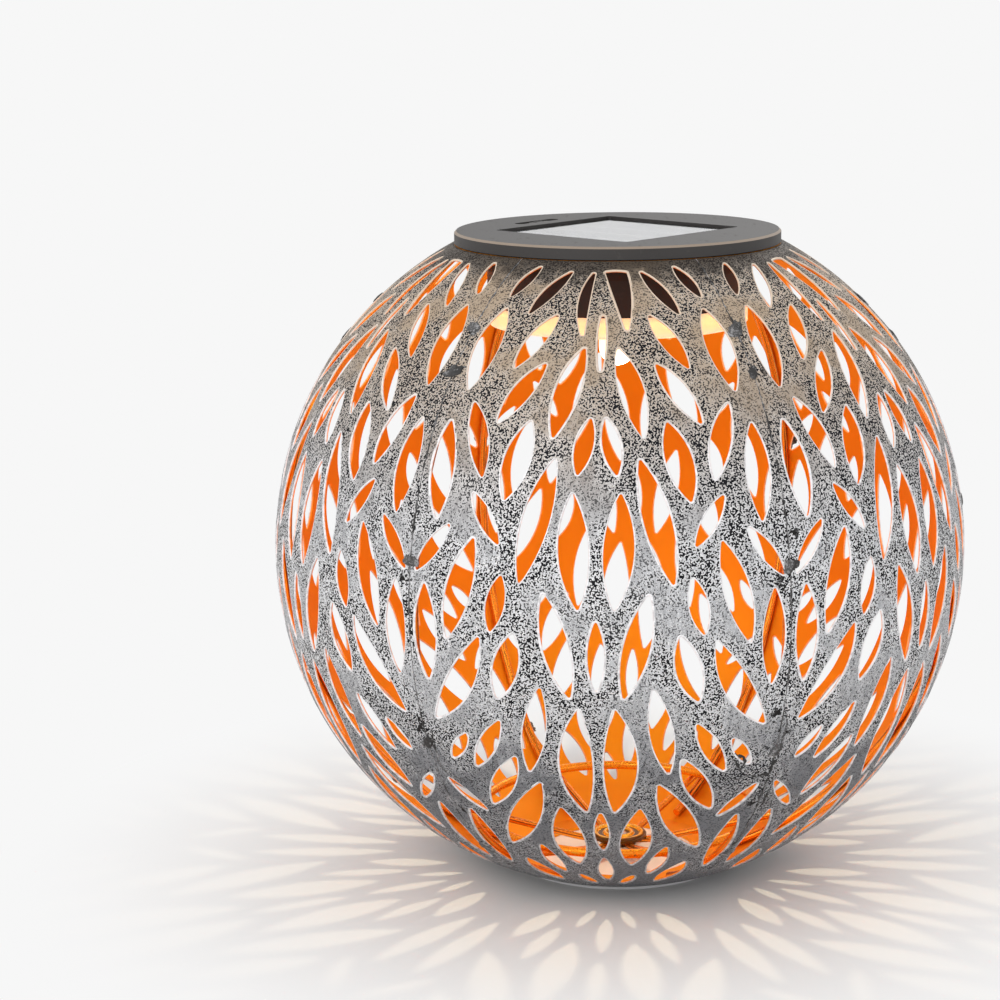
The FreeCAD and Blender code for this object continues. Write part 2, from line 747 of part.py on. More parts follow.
def driver_slot(size, place, low, high):
    """The cut for a screwdriver in a screw's head."""
    x, y = place
    return block(x - size[0] / 2, x + size[0] / 2, y - size[1] / 2, y + size[1] / 2, low, high)


def housing_screws():
    """Three long screws from the housing's floor up into the disc."""
    screws = []
    for angle in boss_angles:
        place = polar(screw_circle, angle)
        head_low = housing_bottom + bore_clearance
        head = disc(screw_head, head_low, head_low + screw_head_height, *place)
        head = head.cut(driver_slot(screw_slot, place, head_low - past, head_low + screw_slot[2]))
        shank = disc(screw_shank, head_low + screw_head_height, disc_bottom + screw_bite, *place)
        screws.append(head.fuse(shank).removeSplitter())
    return Part.makeCompound(screws)


def diffuser_ring():
    """The lit ring below the housing: a flange, a thin wall and a turned-in lip."""
    top = housing_bottom
    low = top - diffuser_height
    outer = housing_radius
    flange = outer - diffuser_flange
    lip = outer - diffuser_lip
    wall = outer - diffuser_wall
    bevel = diffuser_wall / 2
    under = top - diffuser_wall
    shape = turned((
        (flange, top), (outer, top), (outer, low + bevel), (outer - bevel, low), (lip, low),
        (lip, low + bevel), (wall, low + 2 * bevel), (wall, under), (flange, under)))
    return shape.cut(bay(door_flange + bore_clearance, door_flange + bore_clearance, low, top))


def bulb_socket():
    """Holds the bulb's open end, with a flange that rests on the housing's floor."""
    low = housing_bottom - socket_depth
    bore = bulb_radius + fit_clearance
    outer = bulb_radius + socket_wall
    flange = outer + socket_flange
    top = floor_top + socket_wall
    return turned((
        (bore, low), (outer, low), (outer, floor_top), (flange, floor_top), (flange, top),
        (socket_web_hole, top), (socket_web_hole, housing_bottom), (bore, housing_bottom)))


def bulb_cover():
    """A frosted capsule, open at the top."""
    tip = housing_bottom - bulb_reach
    round_centre = Vector(0, 0, tip + bulb_radius)
    top = housing_bottom - fit_clearance
    outside = disc(bulb_radius, round_centre.z, top).fuse(Part.makeSphere(bulb_radius, round_centre))
    inside_radius = bulb_radius - bulb_wall
    inside = disc(inside_radius, round_centre.z, top + past)
    inside = inside.fuse(Part.makeSphere(inside_radius, round_centre))
    return outside.cut(inside).removeSplitter()


def led_board():
    radius = bulb_radius - bulb_wall - bore_clearance
    return disc(radius, housing_bottom - led_board_thickness, housing_bottom)


def led_chips():
    low = housing_bottom - led_board_thickness - led_chip_height
    near = led_chip_distance
    chip = block(-led_chip / 2, led_chip / 2, near, near + led_chip, low, low + led_chip_height)
    step = 360.0 / led_chip_count
    return Part.makeCompound([spun(chip, step * number) for number in range(led_chip_count)])


def reflector_cup():
    top = housing_bottom
    mouth = reflector_radius
    throat = bulb_radius + socket_wall + 3 * fit_clearance
    shoulder = throat + reflector_flange
    low = top - reflector_depth
    inner = shoulder - reflector_sheet
    return turned((
        (throat, top), (shoulder, top), (mouth, low), (mouth - reflector_sheet, low),
        (inner, top - reflector_sheet), (throat, top - reflector_sheet)))


# ---- lamp unit: battery --------------------------------------------------------------------

def battery_cell():
    start = -bay_half_length + contact_sheet + spring_length
    end = start + cell_length
    body = rod(cell_radius, start, end, -battery_offset, battery_height)
    return body.fuse(rod(cell_nub_radius, end, end + cell_nub, -battery_offset, battery_height))


def battery_tray():
    """A box over the door's opening, with slots in its roof for the contacts."""
    shape = bay(tray_wall, tray_wall, floor_top, bay_top + tray_wall)
    cuts = [bay(0, 0, floor_top - past, bay_top)]
    half = contact_width / 2 + bore_clearance
    width = 3 * contact_sheet
    for side in (-1, 1):
        left = min(side * bay_half_length, side * (bay_half_length - width))
        cuts.append(block(left, left + width, -battery_offset - half, -battery_offset + half,
                          bay_top - past, bay_top + tray_wall + past))
    return shape.cut(cuts)


def contact_plate(side):
    """A flat contact at one end of the tray; its tab stands up out of the roof."""
    left = min(side * bay_half_length, side * (bay_half_length - contact_sheet))
    half = contact_width / 2
    return block(left, left + contact_sheet, -battery_offset - half, -battery_offset + half,
                 floor_top + contact_lift, bay_top + tray_wall + contact_tab)


def spring_contact():
    """The contact at the cell's flat end: a plate with a strip bent out towards the cell."""
    left = -bay_half_length + contact_sheet
    tip = left + spring_length - bore_clearance
    low = battery_height - spring_rise
    high = battery_height + spring_rise
    knee = battery_height + spring_knee
    corners = (
        (left, low), (tip, knee), (left + 2 * spring_sheet, high), (left + spring_sheet, high),
        (tip - spring_sheet, knee), (left, low + spring_root))
    outline = [Vector(x, -battery_offset - spring_width / 2, z) for x, z in corners]
    strip = Part.Face(Part.makePolygon(outline + outline[:1])).extrude(Vector(0, spring_width, 0))
    return contact_plate(-1).fuse(strip).removeSplitter()


def plate_contact():
    return contact_plate(1)


def battery_door():
    """A plug in the floor's opening, a flange under the floor, hinge knuckles and a finger lip."""
    half_length = bay_half_length - door_clearance
    near = -battery_offset - bay_half_width + door_clearance
    far = -battery_offset + bay_half_width - door_latch_clearance
    high = housing_bottom - door_seal_gap - door_seal_thickness
    low = high - door_flange_thickness
    flange_near = -battery_offset - bay_half_width - door_flange
    flange_far = -battery_offset + bay_half_width + door_flange
    lip = door_lip_width / 2
    plug = block(-half_length, half_length, near, far, high, housing_bottom + door_plug_height)
    pieces = [bay(door_flange, door_flange, low, high),
              block(-lip, lip, flange_far, flange_far + door_lip_length, low, high)]
    for side in (-1, 1):
        left = min(side * knuckle_from, side * knuckle_to)
        right = left + knuckle_to - knuckle_from
        pieces.append(rod(hinge_radius, left, right, hinge_y, hinge_z))
        pieces.append(block(left, right, hinge_y, flange_near, low, high))
    pin_bore = rod(hinge_pin + hinge_fit, -knuckle_to - past, knuckle_to + past, hinge_y, hinge_z)
    return plug.fuse(pieces).cut(pin_bore).removeSplitter()


def door_seal():
    """A soft frame round the plug, on the door's flange."""
    low = housing_bottom - door_seal_gap - door_seal_thickness
    high = low + door_seal_thickness
    return bay(door_seal_width, door_seal_width, low, high).cut(bay(0, 0, low, high))


def door_hinge_pin():
    half = knuckle_to + ear_gap + ear_width
    return rod(hinge_pin, -half, half, hinge_y, hinge_z)


# ---- lamp unit: control board and leads --------------------------------------------------------

def control_board():
    shape = block(-board_half_length, board_half_length, board_front, board_back, board_bottom, board_top)
    return shape.cut([disc(board_screw_shank + bore_clearance, board_bottom - past, board_top + past, x, y)
                      for x, y in board_screw_places])


def board_screws():
    screws = []
    for x, y in board_screw_places:
        head = disc(board_screw_head, board_top, board_top + board_screw_head_height, x, y)
        top = board_top + board_screw_head_height
        head = head.cut(driver_slot(board_screw_slot, (x, y), top - board_screw_slot[2], top + past))
        shank = disc(board_screw_shank, board_top - board_screw_length, board_top, x, y)
        screws.append(head.fuse(shank).removeSplitter())
    return Part.makeCompound(screws)


def on_board(size, place):
    """A box that stands on the board, about its place."""
    length, width, height = size
    x, y = place
    half_length, half_width = length / 2, width / 2
    return block(x - half_length, x + half_length, y - half_width, y + half_width,
                 board_top, board_top + height)


def board_plugs():
    """The plugs of the battery, LED and switch leads."""
    front_y = board_front + plug_inset + plug_size[1] / 2
    plugs = [on_board(plug_size, (x, front_y)) for x in front_plug_places]
    length, width, height = plug_size
    side_x = -board_half_length + plug_inset / 2 + width / 2
    plugs.append(on_board((width, length, height), (side_x, side_plug_y)))
    return Part.makeCompound(plugs)


def board_parts():
    """A coil, a charge controller, a capacitor and two small resistors."""
    pieces = [
        disc(coil_radius, board_top, board_top + coil_height, *coil_place),
        disc(capacitor_radius, board_top, board_top + capacitor_height, *capacitor_place),
        on_board(controller_size, controller_place)]
    pieces += [on_board(resistor_size, place) for place in resistor_places]
    return Part.makeCompound(pieces)


def lead_pair(points, shift):
    """Two parallel wires along the same route."""
    first = [Vector(*point) - shift for point in points]
    second = [Vector(*point) + shift for point in points]
    return [bent_wire(first, lead_radius), bent_wire(second, lead_radius)]


def led_leads():
    front = board_front + plug_inset - thread_clearance
    route = ((0, 0, housing_bottom + thread_clearance), (0, 0, lead_height), (0, front, lead_height))
    return Part.makeCompound(lead_pair(route, Vector(lead_spacing / 2, 0, 0)))


def battery_leads():
    """One lead from each contact's tab, forward of the bulb socket and back to its plug."""
    front = board_front + plug_inset - thread_clearance
    tab_height = bay_top + tray_wall + contact_tab - tab_lead_drop
    first_bend, second_bend = battery_lead_bends
    leads = []
    for side, plug_x in ((-1, front_plug_places[0]), (1, front_plug_places[2])):
        x = side * (bay_half_length - contact_sheet - lead_radius - thread_clearance)
        points = [
            Vector(x, -battery_offset - tab_lead_reach, tab_height), Vector(x, first_bend, tab_height),
            Vector(plug_x, second_bend, lead_height), Vector(plug_x, front, lead_height)]
        leads.append(bent_wire(points, lead_radius))
    return Part.makeCompound(leads)


def solar_leads():
    leads = []
    shift_x, shift_y = panel_lead_shift
    for x, y in lead_places():
        end_x, end_y = x + shift_x, y + shift_y
        points = [
            Vector(x, y, pocket_floor + panel_lead_top), Vector(x, y, disc_bottom - panel_lead_drop),
            Vector(end_x, end_y, board_top + panel_lead_rise),
            Vector(end_x, end_y, board_top + thread_clearance)]
        leads.append(bent_wire(points, lead_radius))
    return Part.makeCompound(leads)


def switch_leads():
    x, y = polar(slot_distance, slot_direction)
    side = -board_half_length + plug_inset / 2 - thread_clearance
    start = disc_bottom - switch_height - thread_clearance
    route = ((x, side_plug_y, start), (x, side_plug_y, lead_height), (side, side_plug_y, lead_height))
    return Part.makeCompound(lead_pair(route, Vector(0, lead_spacing / 2, 0)))


# ---- lamp unit: switch -----------------------------------------------------------------------

def switch_body():
    """A slide switch under the disc, with a steel frame that carries its two screws."""
    low = disc_bottom - switch_height
    half_width = switch_width / 2
    body = block(-switch_length / 2, switch_length / 2, -half_width, half_width, low, disc_bottom)
    ears = block(-switch_ear_length / 2, switch_ear_length / 2, -half_width, half_width,
                 disc_bottom - switch_ear_sheet, disc_bottom)
    cuts = [block(-window_length / 2, window_length / 2, -window_width / 2, window_width / 2,
                  disc_bottom - stem_reach - stem_clearance, disc_bottom + past)]
    cuts += [disc(board_screw_shank + bore_clearance, low, disc_bottom + past, side * switch_screw_place)
             for side in (-1, 1)]
    return at_slot(body.fuse(ears).cut(cuts))


def switch_screws():
    screws = []
    for side in (-1, 1):
        x = side * switch_screw_place
        low = disc_bottom - switch_ear_sheet
        head = disc(switch_screw_head, low - board_screw_head_height, low, x)
        shank = disc(board_screw_shank, low, disc_bottom + switch_screw_bite, x)
        screws.append(at_slot(head.fuse(shank).removeSplitter()))
    return Part.makeCompound(screws)


def switch_knob():
    """The knob in the slot, at the end of its travel that lies clockwise seen from above."""
    low = disc_top - slot_depth + knob_gap
    width = slot_width - 2 * bore_clearance
    high = low + knob_thickness
    pieces = []
    half = knob_ridge_length / 2
    for number in range(knob_ridges):
        left = (number - (knob_ridges - 1) / 2) * knob_ridge_pitch - knob_ridge_width / 2
        pieces.append(block(left, left + knob_ridge_width, -half, half, high, high + knob_ridge_height))
    half_stem = stem_length / 2
    stem_low = disc_bottom - stem_reach
    pieces.append(block(-half_stem, half_stem, -stem_width / 2, stem_width / 2, stem_low, low))
    shape = slot_shape(knob_length, width, low, high).fuse(pieces).removeSplitter()
    shape.translate(Vector(switch_travel / 2, 0, 0))
    return at_slot(shape)


# ---- all pieces ------------------------------------------------------------------------------

panel = gore_panel()
rib = seam_rib()
for number in range(gore_count):
    turn = 360.0 / gore_count * number
    save("gore_panel_%d" % (number + 1), spun(panel, first_gore_azimuth + turn))
    save("seam_rib_%d" % (number + 1), spun(rib, seam_azimuths()[number]))

single_pieces = (
    seam_welds, foot_ring, top_collar, collar_gasket,
    base_hub, hub_washer, hub_rivet, brace_arms, brace_hoop,
    top_bezel, solar_backing, solar_cells, cell_busbars, solar_cover, panel_sealant,
    housing_can, housing_seal, housing_screws, diffuser_ring,
    bulb_socket, bulb_cover, led_board, led_chips, reflector_cup,
    battery_cell, battery_tray, spring_contact, plate_contact,
    battery_door, door_seal, door_hinge_pin,
    control_board, board_screws, board_plugs, board_parts,
    led_leads, battery_leads, solar_leads, switch_leads,
    switch_body, switch_screws, switch_knob,
)
for piece in single_pieces:
    save(piece.__name__, piece())
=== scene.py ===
import math
import random

import bmesh
import bpy
from mathutils import Matrix, Quaternion, Vector, noise


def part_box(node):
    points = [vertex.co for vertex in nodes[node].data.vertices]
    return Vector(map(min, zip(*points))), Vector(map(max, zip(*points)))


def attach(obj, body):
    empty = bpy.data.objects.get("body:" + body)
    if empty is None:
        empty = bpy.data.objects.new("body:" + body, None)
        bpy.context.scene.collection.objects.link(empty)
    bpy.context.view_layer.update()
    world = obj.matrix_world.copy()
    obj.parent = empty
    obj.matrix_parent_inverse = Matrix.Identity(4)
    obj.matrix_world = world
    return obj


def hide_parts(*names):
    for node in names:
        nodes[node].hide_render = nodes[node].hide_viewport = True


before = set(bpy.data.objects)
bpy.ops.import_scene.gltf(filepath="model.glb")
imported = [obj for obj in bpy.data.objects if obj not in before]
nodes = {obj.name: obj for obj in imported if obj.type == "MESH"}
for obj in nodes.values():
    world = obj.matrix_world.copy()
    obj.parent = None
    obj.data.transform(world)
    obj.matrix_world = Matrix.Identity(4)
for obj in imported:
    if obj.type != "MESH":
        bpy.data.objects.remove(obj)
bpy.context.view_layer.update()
print("frame loaded,", len(nodes), "nodes")

# What the whole globe is measured from, in metres and degrees.
globe = {
    "radius": 0.150,
    "sheet": 0.0012,
    "footRadius": 0.045,
    "gores": 6,
    "firstSeam": 26.7,      # azimuth from the front towards the right
}
globeCentre = Vector((0, 0, math.sqrt(globe["radius"] ** 2 - globe["footRadius"] ** 2)))
goreStep = 360 / globe["gores"]

# The numbers that a Mix node gives to the sockets of its colour form.
colourMix = {"factor": 0, "first": 6, "second": 7, "result": 2}


class Wire:
    # a node's output that can be used in sums

    def __init__(self, graph, socket):
        self.graph = graph
        self.socket = socket

    def maths(self, operation, *values):
        return self.graph.node("ShaderNodeMath", {"operation": operation}, dict(enumerate(values)))

    def __add__(self, other):
        return self.maths("ADD", self, other)

    def __sub__(self, other):
        return self.maths("SUBTRACT", self, other)

    def __rsub__(self, other):
        return self.maths("SUBTRACT", other, self)

    def __mul__(self, other):
        return self.maths("MULTIPLY", self, other)

    def __truediv__(self, other):
        return self.maths("DIVIDE", self, other)

    def __rtruediv__(self, other):
        return self.maths("DIVIDE", other, self)

    __radd__ = __add__
    __rmul__ = __mul__

    def magnitude(self):
        return self.maths("ABSOLUTE", self)

    def root(self):
        return self.maths("SQRT", self)

    def larger(self, other):
        return self.maths("MAXIMUM", self, other)

    def folded(self, half):
        # climbs from 0 to half and back, again and again
        return self.maths("PINGPONG", self, half)

    def rise(self, low, high):
        # 0 below low, 1 above high, smooth between them
        sockets = {"Value": self, "From Min": low, "From Max": high}
        return self.graph.node("ShaderNodeMapRange", {"interpolation_type": "SMOOTHSTEP"}, sockets)

    def fall(self, low, high):
        return 1 - self.rise(low, high)

    def raised(self, look):
        return self.rise(*look["span"]) * look["tint"]

    def lowered(self, look):
        return self.fall(*look["span"]) * look["tint"]


class Graph:
    # the nodes of one material, or of the world

    def __init__(self, tree):
        self.tree = tree

    def node(self, kind, settings=None, sockets=None, output=0):
        made = self.tree.nodes.new(kind)
        for setting, value in (settings or {}).items():
            setattr(made, setting, value)
        for socket, value in (sockets or {}).items():
            if isinstance(value, Wire):
                self.tree.links.new(value.socket, made.inputs[socket])
            else:
                made.inputs[socket].default_value = value
        return Wire(self, made.outputs[output])

    def show(self, wire, end):
        # what the surface or the sky looks like in the end
        self.tree.links.new(wire.socket, self.tree.nodes[end].inputs["Surface"])


class Finish(Graph):
    # one material and its shader

    def __init__(self, name, **constants):
        self.material = bpy.data.materials.new(name)
        self.material.use_nodes = True
        super().__init__(self.material.node_tree)
        self.shader = self.tree.nodes["Principled BSDF"]
        for socket, value in constants.items():
            self.shader.inputs[socket.replace("_", " ")].default_value = value

    def feed(self, **links):
        for socket, value in links.items():
            self.tree.links.new(value.socket, self.shader.inputs[socket.replace("_", " ")])

    def place(self):
        return self.node("ShaderNodeTexCoord", output="Object")

    def facing(self):
        return self.node("ShaderNodeTexCoord", output="Normal")

    def vector(self, operation, first, second=(0, 0, 0), output=0):
        return self.node("ShaderNodeVectorMath", {"operation": operation}, {0: first, 1: second}, output)

    def length(self, vector):
        return self.vector("LENGTH", vector, output="Value")

    def axes(self, vector):
        return [self.node("ShaderNodeSeparateXYZ", None, {0: vector}, axis) for axis in range(3)]

    def mapped(self, vector, stretch=(1, 1, 1), turn=(0, 0, 0)):
        return self.node("ShaderNodeMapping", None, {"Vector": vector, "Scale": stretch, "Rotation": turn})

    def grain(self, vector, scale, detail, roughness):
        sockets = {"Vector": vector, "Scale": scale, "Detail": detail, "Roughness": roughness}
        return self.node("ShaderNodeTexNoise", None, sockets)

    def patches(self, vector, look):
        # a grain cut to its span
        return self.grain(vector, *look["grain"]).rise(*look["span"])

    def cells(self, vector, scale, output="Distance"):
        return self.node("ShaderNodeTexVoronoi", None, {"Vector": vector, "Scale": scale}, output)

    def mix(self, factor, first, second):
        first, second = [value if isinstance(value, Wire) else (*value, 1) for value in (first, second)]
        sockets = {colourMix["factor"]: factor, colourMix["first"]: first, colourMix["second"]: second}
        return self.node("ShaderNodeMix", {"data_type": "RGBA"}, sockets, colourMix["result"])

    def relief(self, height, depth, strength):
        return self.node("ShaderNodeBump", None, {"Strength": strength, "Distance": depth, "Height": height})


def dress(finish, *names):
    for name in names:
        slots = nodes[name].data.materials
        slots.clear()
        slots.append(finish.material)


def facesOutward(finish, place):
    # 1 on a face that looks away from the globe's centre, -1 on one that looks at it
    outward = finish.vector("NORMALIZE", finish.vector("SUBTRACT", place, globeCentre))
    return finish.vector("DOT_PRODUCT", outward, finish.facing(), "Value")


def globeLevel(finish, place):
    # height above the globe's centre, in its radii
    return (finish.axes(place)[2] - globeCentre.z) / globe["radius"]


def awayFromAxis(finish, place):
    x, y = finish.axes(place)[:2]
    return (x * x + y * y).root()


# In each look below, a grain is its scale in features to the metre, its detail and its roughness.
# A span is where a mask starts and where it is full. The tint, rough, metal, coat and relief of
# a mask are how much it counts for in each. A relief at the end is its depth and its strength.
sheetFinish = {
    "light": (0.66, 0.675, 0.71),       # bare antique silver, left lighter round the equator as a painted highlight
    "worn": (0.175, 0.182, 0.200),      # darker silver for the streaks and calm patches, and as painted shade lower down and away from the equator
    "paintedBulbGlow": (0.52, 0.39, 0.26),         # painted warm glow of the bulb below the disc
    "solder": (0.016, 0.015, 0.015),
    "cut": (0.74, 0.74, 0.76),
    "outside": (0.5, 0.75),             # spans of how far a face looks outward
    "inside": (-0.75, -0.5),
    "deep": (0.0004, 0.0006),           # below the outer surface
    "litBandBelow": 0.03,                  # how far the lit band, a painted highlight, lies below the equator
    "ragged": {"grain": (420, 3, 0.6), "wander": 0.0018},
    "patches": (36, 2, 0.5),
    "calm": {"span": (0.48, 0.62), "limit": 0.058, "tint": 0.30, "halo": 0.4, "speck": 0.3},
    "busy": {"span": (0.38, 0.50), "limit": 0.02},
    "streaks": {
        "grain": (420, 3, 0.6), "stretch": (1, 1, 0.14), "span": (0.42, 0.60),
        "tint": 0.25, "rough": 0.08, "relief": 0.2},
    "smudges": {"grain": (150, 3, 0.6), "limit": 0.20},
    "specks": {
        "grain": (1450, 0.6, 0.5), "span": (-0.012, 0.030), "colour": (0.009, 0.009, 0.012),
        "limit": 0.508,                 # the higher, the fewer specks
        "rough": 0.28, "relief": 0.8},
    "halo": {                           # rubbed bright round a speck
        "from": (-0.10, -0.035), "to": (-0.02, 0.01), "colour": (1.0, 1.0, 1.0), "tint": 0.95},
    "seam": {"span": (0.0002, 0.0007), "broken": (0.48, 0.56), "relief": 0.6},
    "blotches": {"grain": (120, 3, 0.65), "span": (0.62, 0.66), "fromSeam": (0.003, 0.009)},
    # painted highlight round the equator and painted shade lower down
    "band": {"span": (0.10, 0.60), "tint": 0.45, "halo": 0.60},
    "low": {"span": (-0.55, -0.15), "tint": 0.35},
    "foot": {"span": (-0.75, -0.35), "speck": 0.3},
    "high": {"span": (0.15, 0.75), "tint": 0.75},
    "grime": {                          # painted shade close under the disc
        "span": (0.80, 0.865), "colour": (0.030, 0.024, 0.020), "smudge": 0.10, "tint": 0.85},
    "paint": (0.96, 0.310, 0.015),      # orange paint inside
    # yellower paint: painted bulb light near the top, a painted highlight low down, and random blush
    "litAndBlushedPaint": (1.00, 0.46, 0.022),
    "paintLitLow": {"span": (-0.85, -0.25), "tint": 0.75},
    "paintLitHigh": {"span": (0.15, 0.60), "tint": 0.4},
    "blush": {"grain": (9, 3, 0.5), "span": (0.35, 0.65), "tint": 0.15},
    "orangePeel": {"grain": (300, 2, 0.5), "relief": 0.35},
    "roughness": 0.42,
    "paintRough": 0.08,
    "metal": 0.25,
    "paintMetal": 0.88,
    "relief": (0.00018, 0.7),
}


def makeSheetFinish():
    look = sheetFinish
    finish = Finish("antiqueSheet", Specular_IOR_Level=0.15)
    place = finish.place()
    outward = facesOutward(finish, place)
    outside = outward.rise(*look["outside"])
    depth = globe["radius"] - finish.length(finish.vector("SUBTRACT", place, globeCentre))
    inside = outward.fall(*look["inside"]).larger(depth.rise(*look["deep"]))
    level = globeLevel(finish, place)

    # how far a point is from the nearest seam, in metres
    x, y = finish.axes(place)[:2]
    azimuth = x.maths("ARCTAN2", x, y * -1)
    turns = (azimuth * (180 / math.pi) - globe["firstSeam"]) / goreStep
    seamAway = turns.folded(0.5) * awayFromAxis(finish, place) * math.radians(goreStep)

    ragged = finish.grain(place, *look["ragged"]["grain"])
    patches = finish.grain(place, *look["patches"])
    streaks = finish.grain(finish.mapped(place, look["streaks"]["stretch"]), *look["streaks"]["grain"])
    specks = finish.grain(place, *look["specks"]["grain"])
    smudges = finish.grain(place, *look["smudges"]["grain"])
    calm = patches.rise(*look["calm"]["span"])
    busy = patches.fall(*look["busy"]["span"])
    limit = look["specks"]["limit"] + calm * look["calm"]["limit"] - busy * look["busy"]["limit"]
    over = specks - (limit - (smudges - 0.5) * look["smudges"]["limit"])
    dark = over.rise(*look["specks"]["span"])
    halo = over.rise(*look["halo"]["from"]) * over.fall(*look["halo"]["to"])
    seam = (seamAway + (ragged - 0.5) * look["ragged"]["wander"]).fall(*look["seam"]["span"])
    seam = seam * smudges.rise(*look["seam"]["broken"])
    blotches = finish.patches(place, look["blotches"]) * seamAway.fall(*look["blotches"]["fromSeam"])
    solder = seam.larger(blotches)

    # painted light: lighter round the equator, darker away from it and lower down, with fewer bright halos
    # away from it
    band = (level + look["litBandBelow"]).magnitude().rise(*look["band"]["span"])
    tone = band * look["band"]["tint"] + level.lowered(look["low"])
    tone = tone + streaks.raised(look["streaks"]) + calm * look["calm"]["tint"]
    bare = finish.mix(tone, look["light"], look["worn"])
    # painted warm glow of the bulb near the top
    bare = finish.mix(level.raised(look["high"]), bare, look["paintedBulbGlow"])
    ringed = look["halo"]["tint"] - band * look["band"]["halo"] - calm * look["calm"]["halo"]
    bare = finish.mix(halo * ringed, bare, look["halo"]["colour"])
    spotted = 1 - calm * look["calm"]["speck"] - level.fall(*look["foot"]["span"]) * look["foot"]["speck"]
    marked = finish.mix(dark * spotted, bare, look["specks"]["colour"])
    # painted shade just under the disc, made ragged by the smudges
    grimy = (level + (smudges - 0.5) * look["grime"]["smudge"]).raised(look["grime"])
    marked = finish.mix(grimy, marked, look["grime"]["colour"])
    marked = finish.mix(solder, marked, look["solder"])

    # painted bulb light near the top and a painted highlight low down make the paint inside yellower; the
    # blush is random tone
    blush = finish.grain(place, *look["blush"]["grain"])
    litAndBlushed = level.lowered(look["paintLitLow"]) + level.raised(look["paintLitHigh"]) + blush.raised(look["blush"])
    colour = finish.mix(outside, look["cut"], marked)
    colour = finish.mix(inside, colour, finish.mix(litAndBlushed, look["paint"], look["litAndBlushedPaint"]))
    rough = look["roughness"] + dark * outside * look["specks"]["rough"] + streaks * look["streaks"]["rough"]
    height = (1 - dark * look["specks"]["relief"]) * outside + streaks * look["streaks"]["relief"]
    height = height + solder * look["seam"]["relief"] * outside
    orangePeel = finish.grain(place, *look["orangePeel"]["grain"]) * inside * look["orangePeel"]["relief"]
    finish.feed(
        Base_Color=colour,
        Roughness=rough + inside * look["paintRough"],
        Metallic=outside * (1 - dark) * look["metal"] + inside * look["paintMetal"],
        Normal=finish.relief(height + orangePeel, *look["relief"]),
    )
    return finish


edgeFinish = {
    "bright": (0.94, 0.94, 0.97),
    # darker colour of the scuffs, and painted shade near the foot
    "dull": (0.26, 0.26, 0.28),
    # painted warm glow of the bulb near the top
    "paintedBulbGlow": (0.72, 0.55, 0.38),
    "orange": (0.92, 0.34, 0.06),       # paint that came over from inside
    "inward": {"span": (-0.70, 0.0), "tint": 0.85},
    "scuffs": {"grain": (380, 3, 0.6), "span": (0.42, 0.66), "tint": 0.40, "rough": 0.2, "metal": 0.2},
    "low": {"span": (-0.85, -0.30), "tint": 0.60},
    "high": {"span": (0.35, 0.80), "tint": 0.8},
    "roughness": 0.34,
    "relief": (0.00005, 0.6),
}


def makeEdgeFinish():
    # the bare cut edge of an opening, bright where it was rubbed, darker where scuffed, with painted shade
    # near the foot and a painted warm glow near the top
    look = edgeFinish
    finish = Finish("cutEdge")
    place = finish.place()
    inward = facesOutward(finish, place).lowered(look["inward"])
    scuffs = finish.patches(place, look["scuffs"])
    level = globeLevel(finish, place)
    # painted shade near the foot, on top of the scuffs
    dull = scuffs * look["scuffs"]["tint"] + level.lowered(look["low"])
    bright = finish.mix(dull, look["bright"], look["dull"])
    # painted warm glow of the bulb near the top
    bright = finish.mix(level.raised(look["high"]), bright, look["paintedBulbGlow"])
    finish.feed(
        Base_Color=finish.mix(inward, bright, look["orange"]),
        Roughness=look["roughness"] + scuffs * look["scuffs"]["rough"],
        Metallic=scuffs * look["scuffs"]["metal"],
        Normal=finish.relief(scuffs, *look["relief"]),
    )
    return finish


solderFinish = {
    "dark": (0.020, 0.019, 0.019),
    "tin": (0.30, 0.30, 0.31),
    "lumps": (700, 4, 0.65),
    "shine": {"span": (0.55, 0.72), "rough": 0.25, "metal": 0.6},
    "ridges": {"span": (0.42, 0.50), "tint": 0.8},
    "tinned": {"grain": (48, 2, 0.5), "span": (0.46, 0.54)},
    "roughness": 0.62,
    "relief": (0.0004, 1.0),
}


def makeSolderFinish():
    look = solderFinish
    finish = Finish("darkSolder")
    place = finish.place()
    lumps = finish.grain(place, *look["lumps"])
    shine = lumps.rise(*look["shine"]["span"])
    tinned = finish.grain(place, *look["tinned"]["grain"]).fall(*look["tinned"]["span"])
    tinned = tinned * (1 - lumps.raised(look["ridges"]))
    finish.feed(
        Base_Color=finish.mix(tinned.larger(shine), look["dark"], look["tin"]),
        Roughness=look["roughness"] - shine * look["shine"]["rough"],
        Metallic=shine * look["shine"]["metal"],
        Normal=finish.relief(lumps, *look["relief"]),
    )
    return finish


goldFinish = {
    "skin": {"grain": (900, 3, 0.6), "tint": 0.15, "rough": 0.12},
    "pooled": {"grain": (60, 3, 0.55), "span": (0.38, 0.66), "tint": 0.5, "relief": 0.4},
    "chips": {
        "grain": (340, 2, 0.5), "span": (0.72, 0.75), "colour": (0.30, 0.10, 0.02),
        "tint": 0.8, "rough": 0.3, "metal": 0.3, "coat": 0.2},
    # colour of the painted shade and dark reflections on the rods and hub, and of thin paint on the hoop
    "dark": {"colour": (0.035, 0.008, 0.001), "rough": 0.15, "metal": 0.3},
    "roughness": 0.20,
    "metal": 0.85,
    "coat": 0.25,
    "relief": (0.00006, 0.6),
}


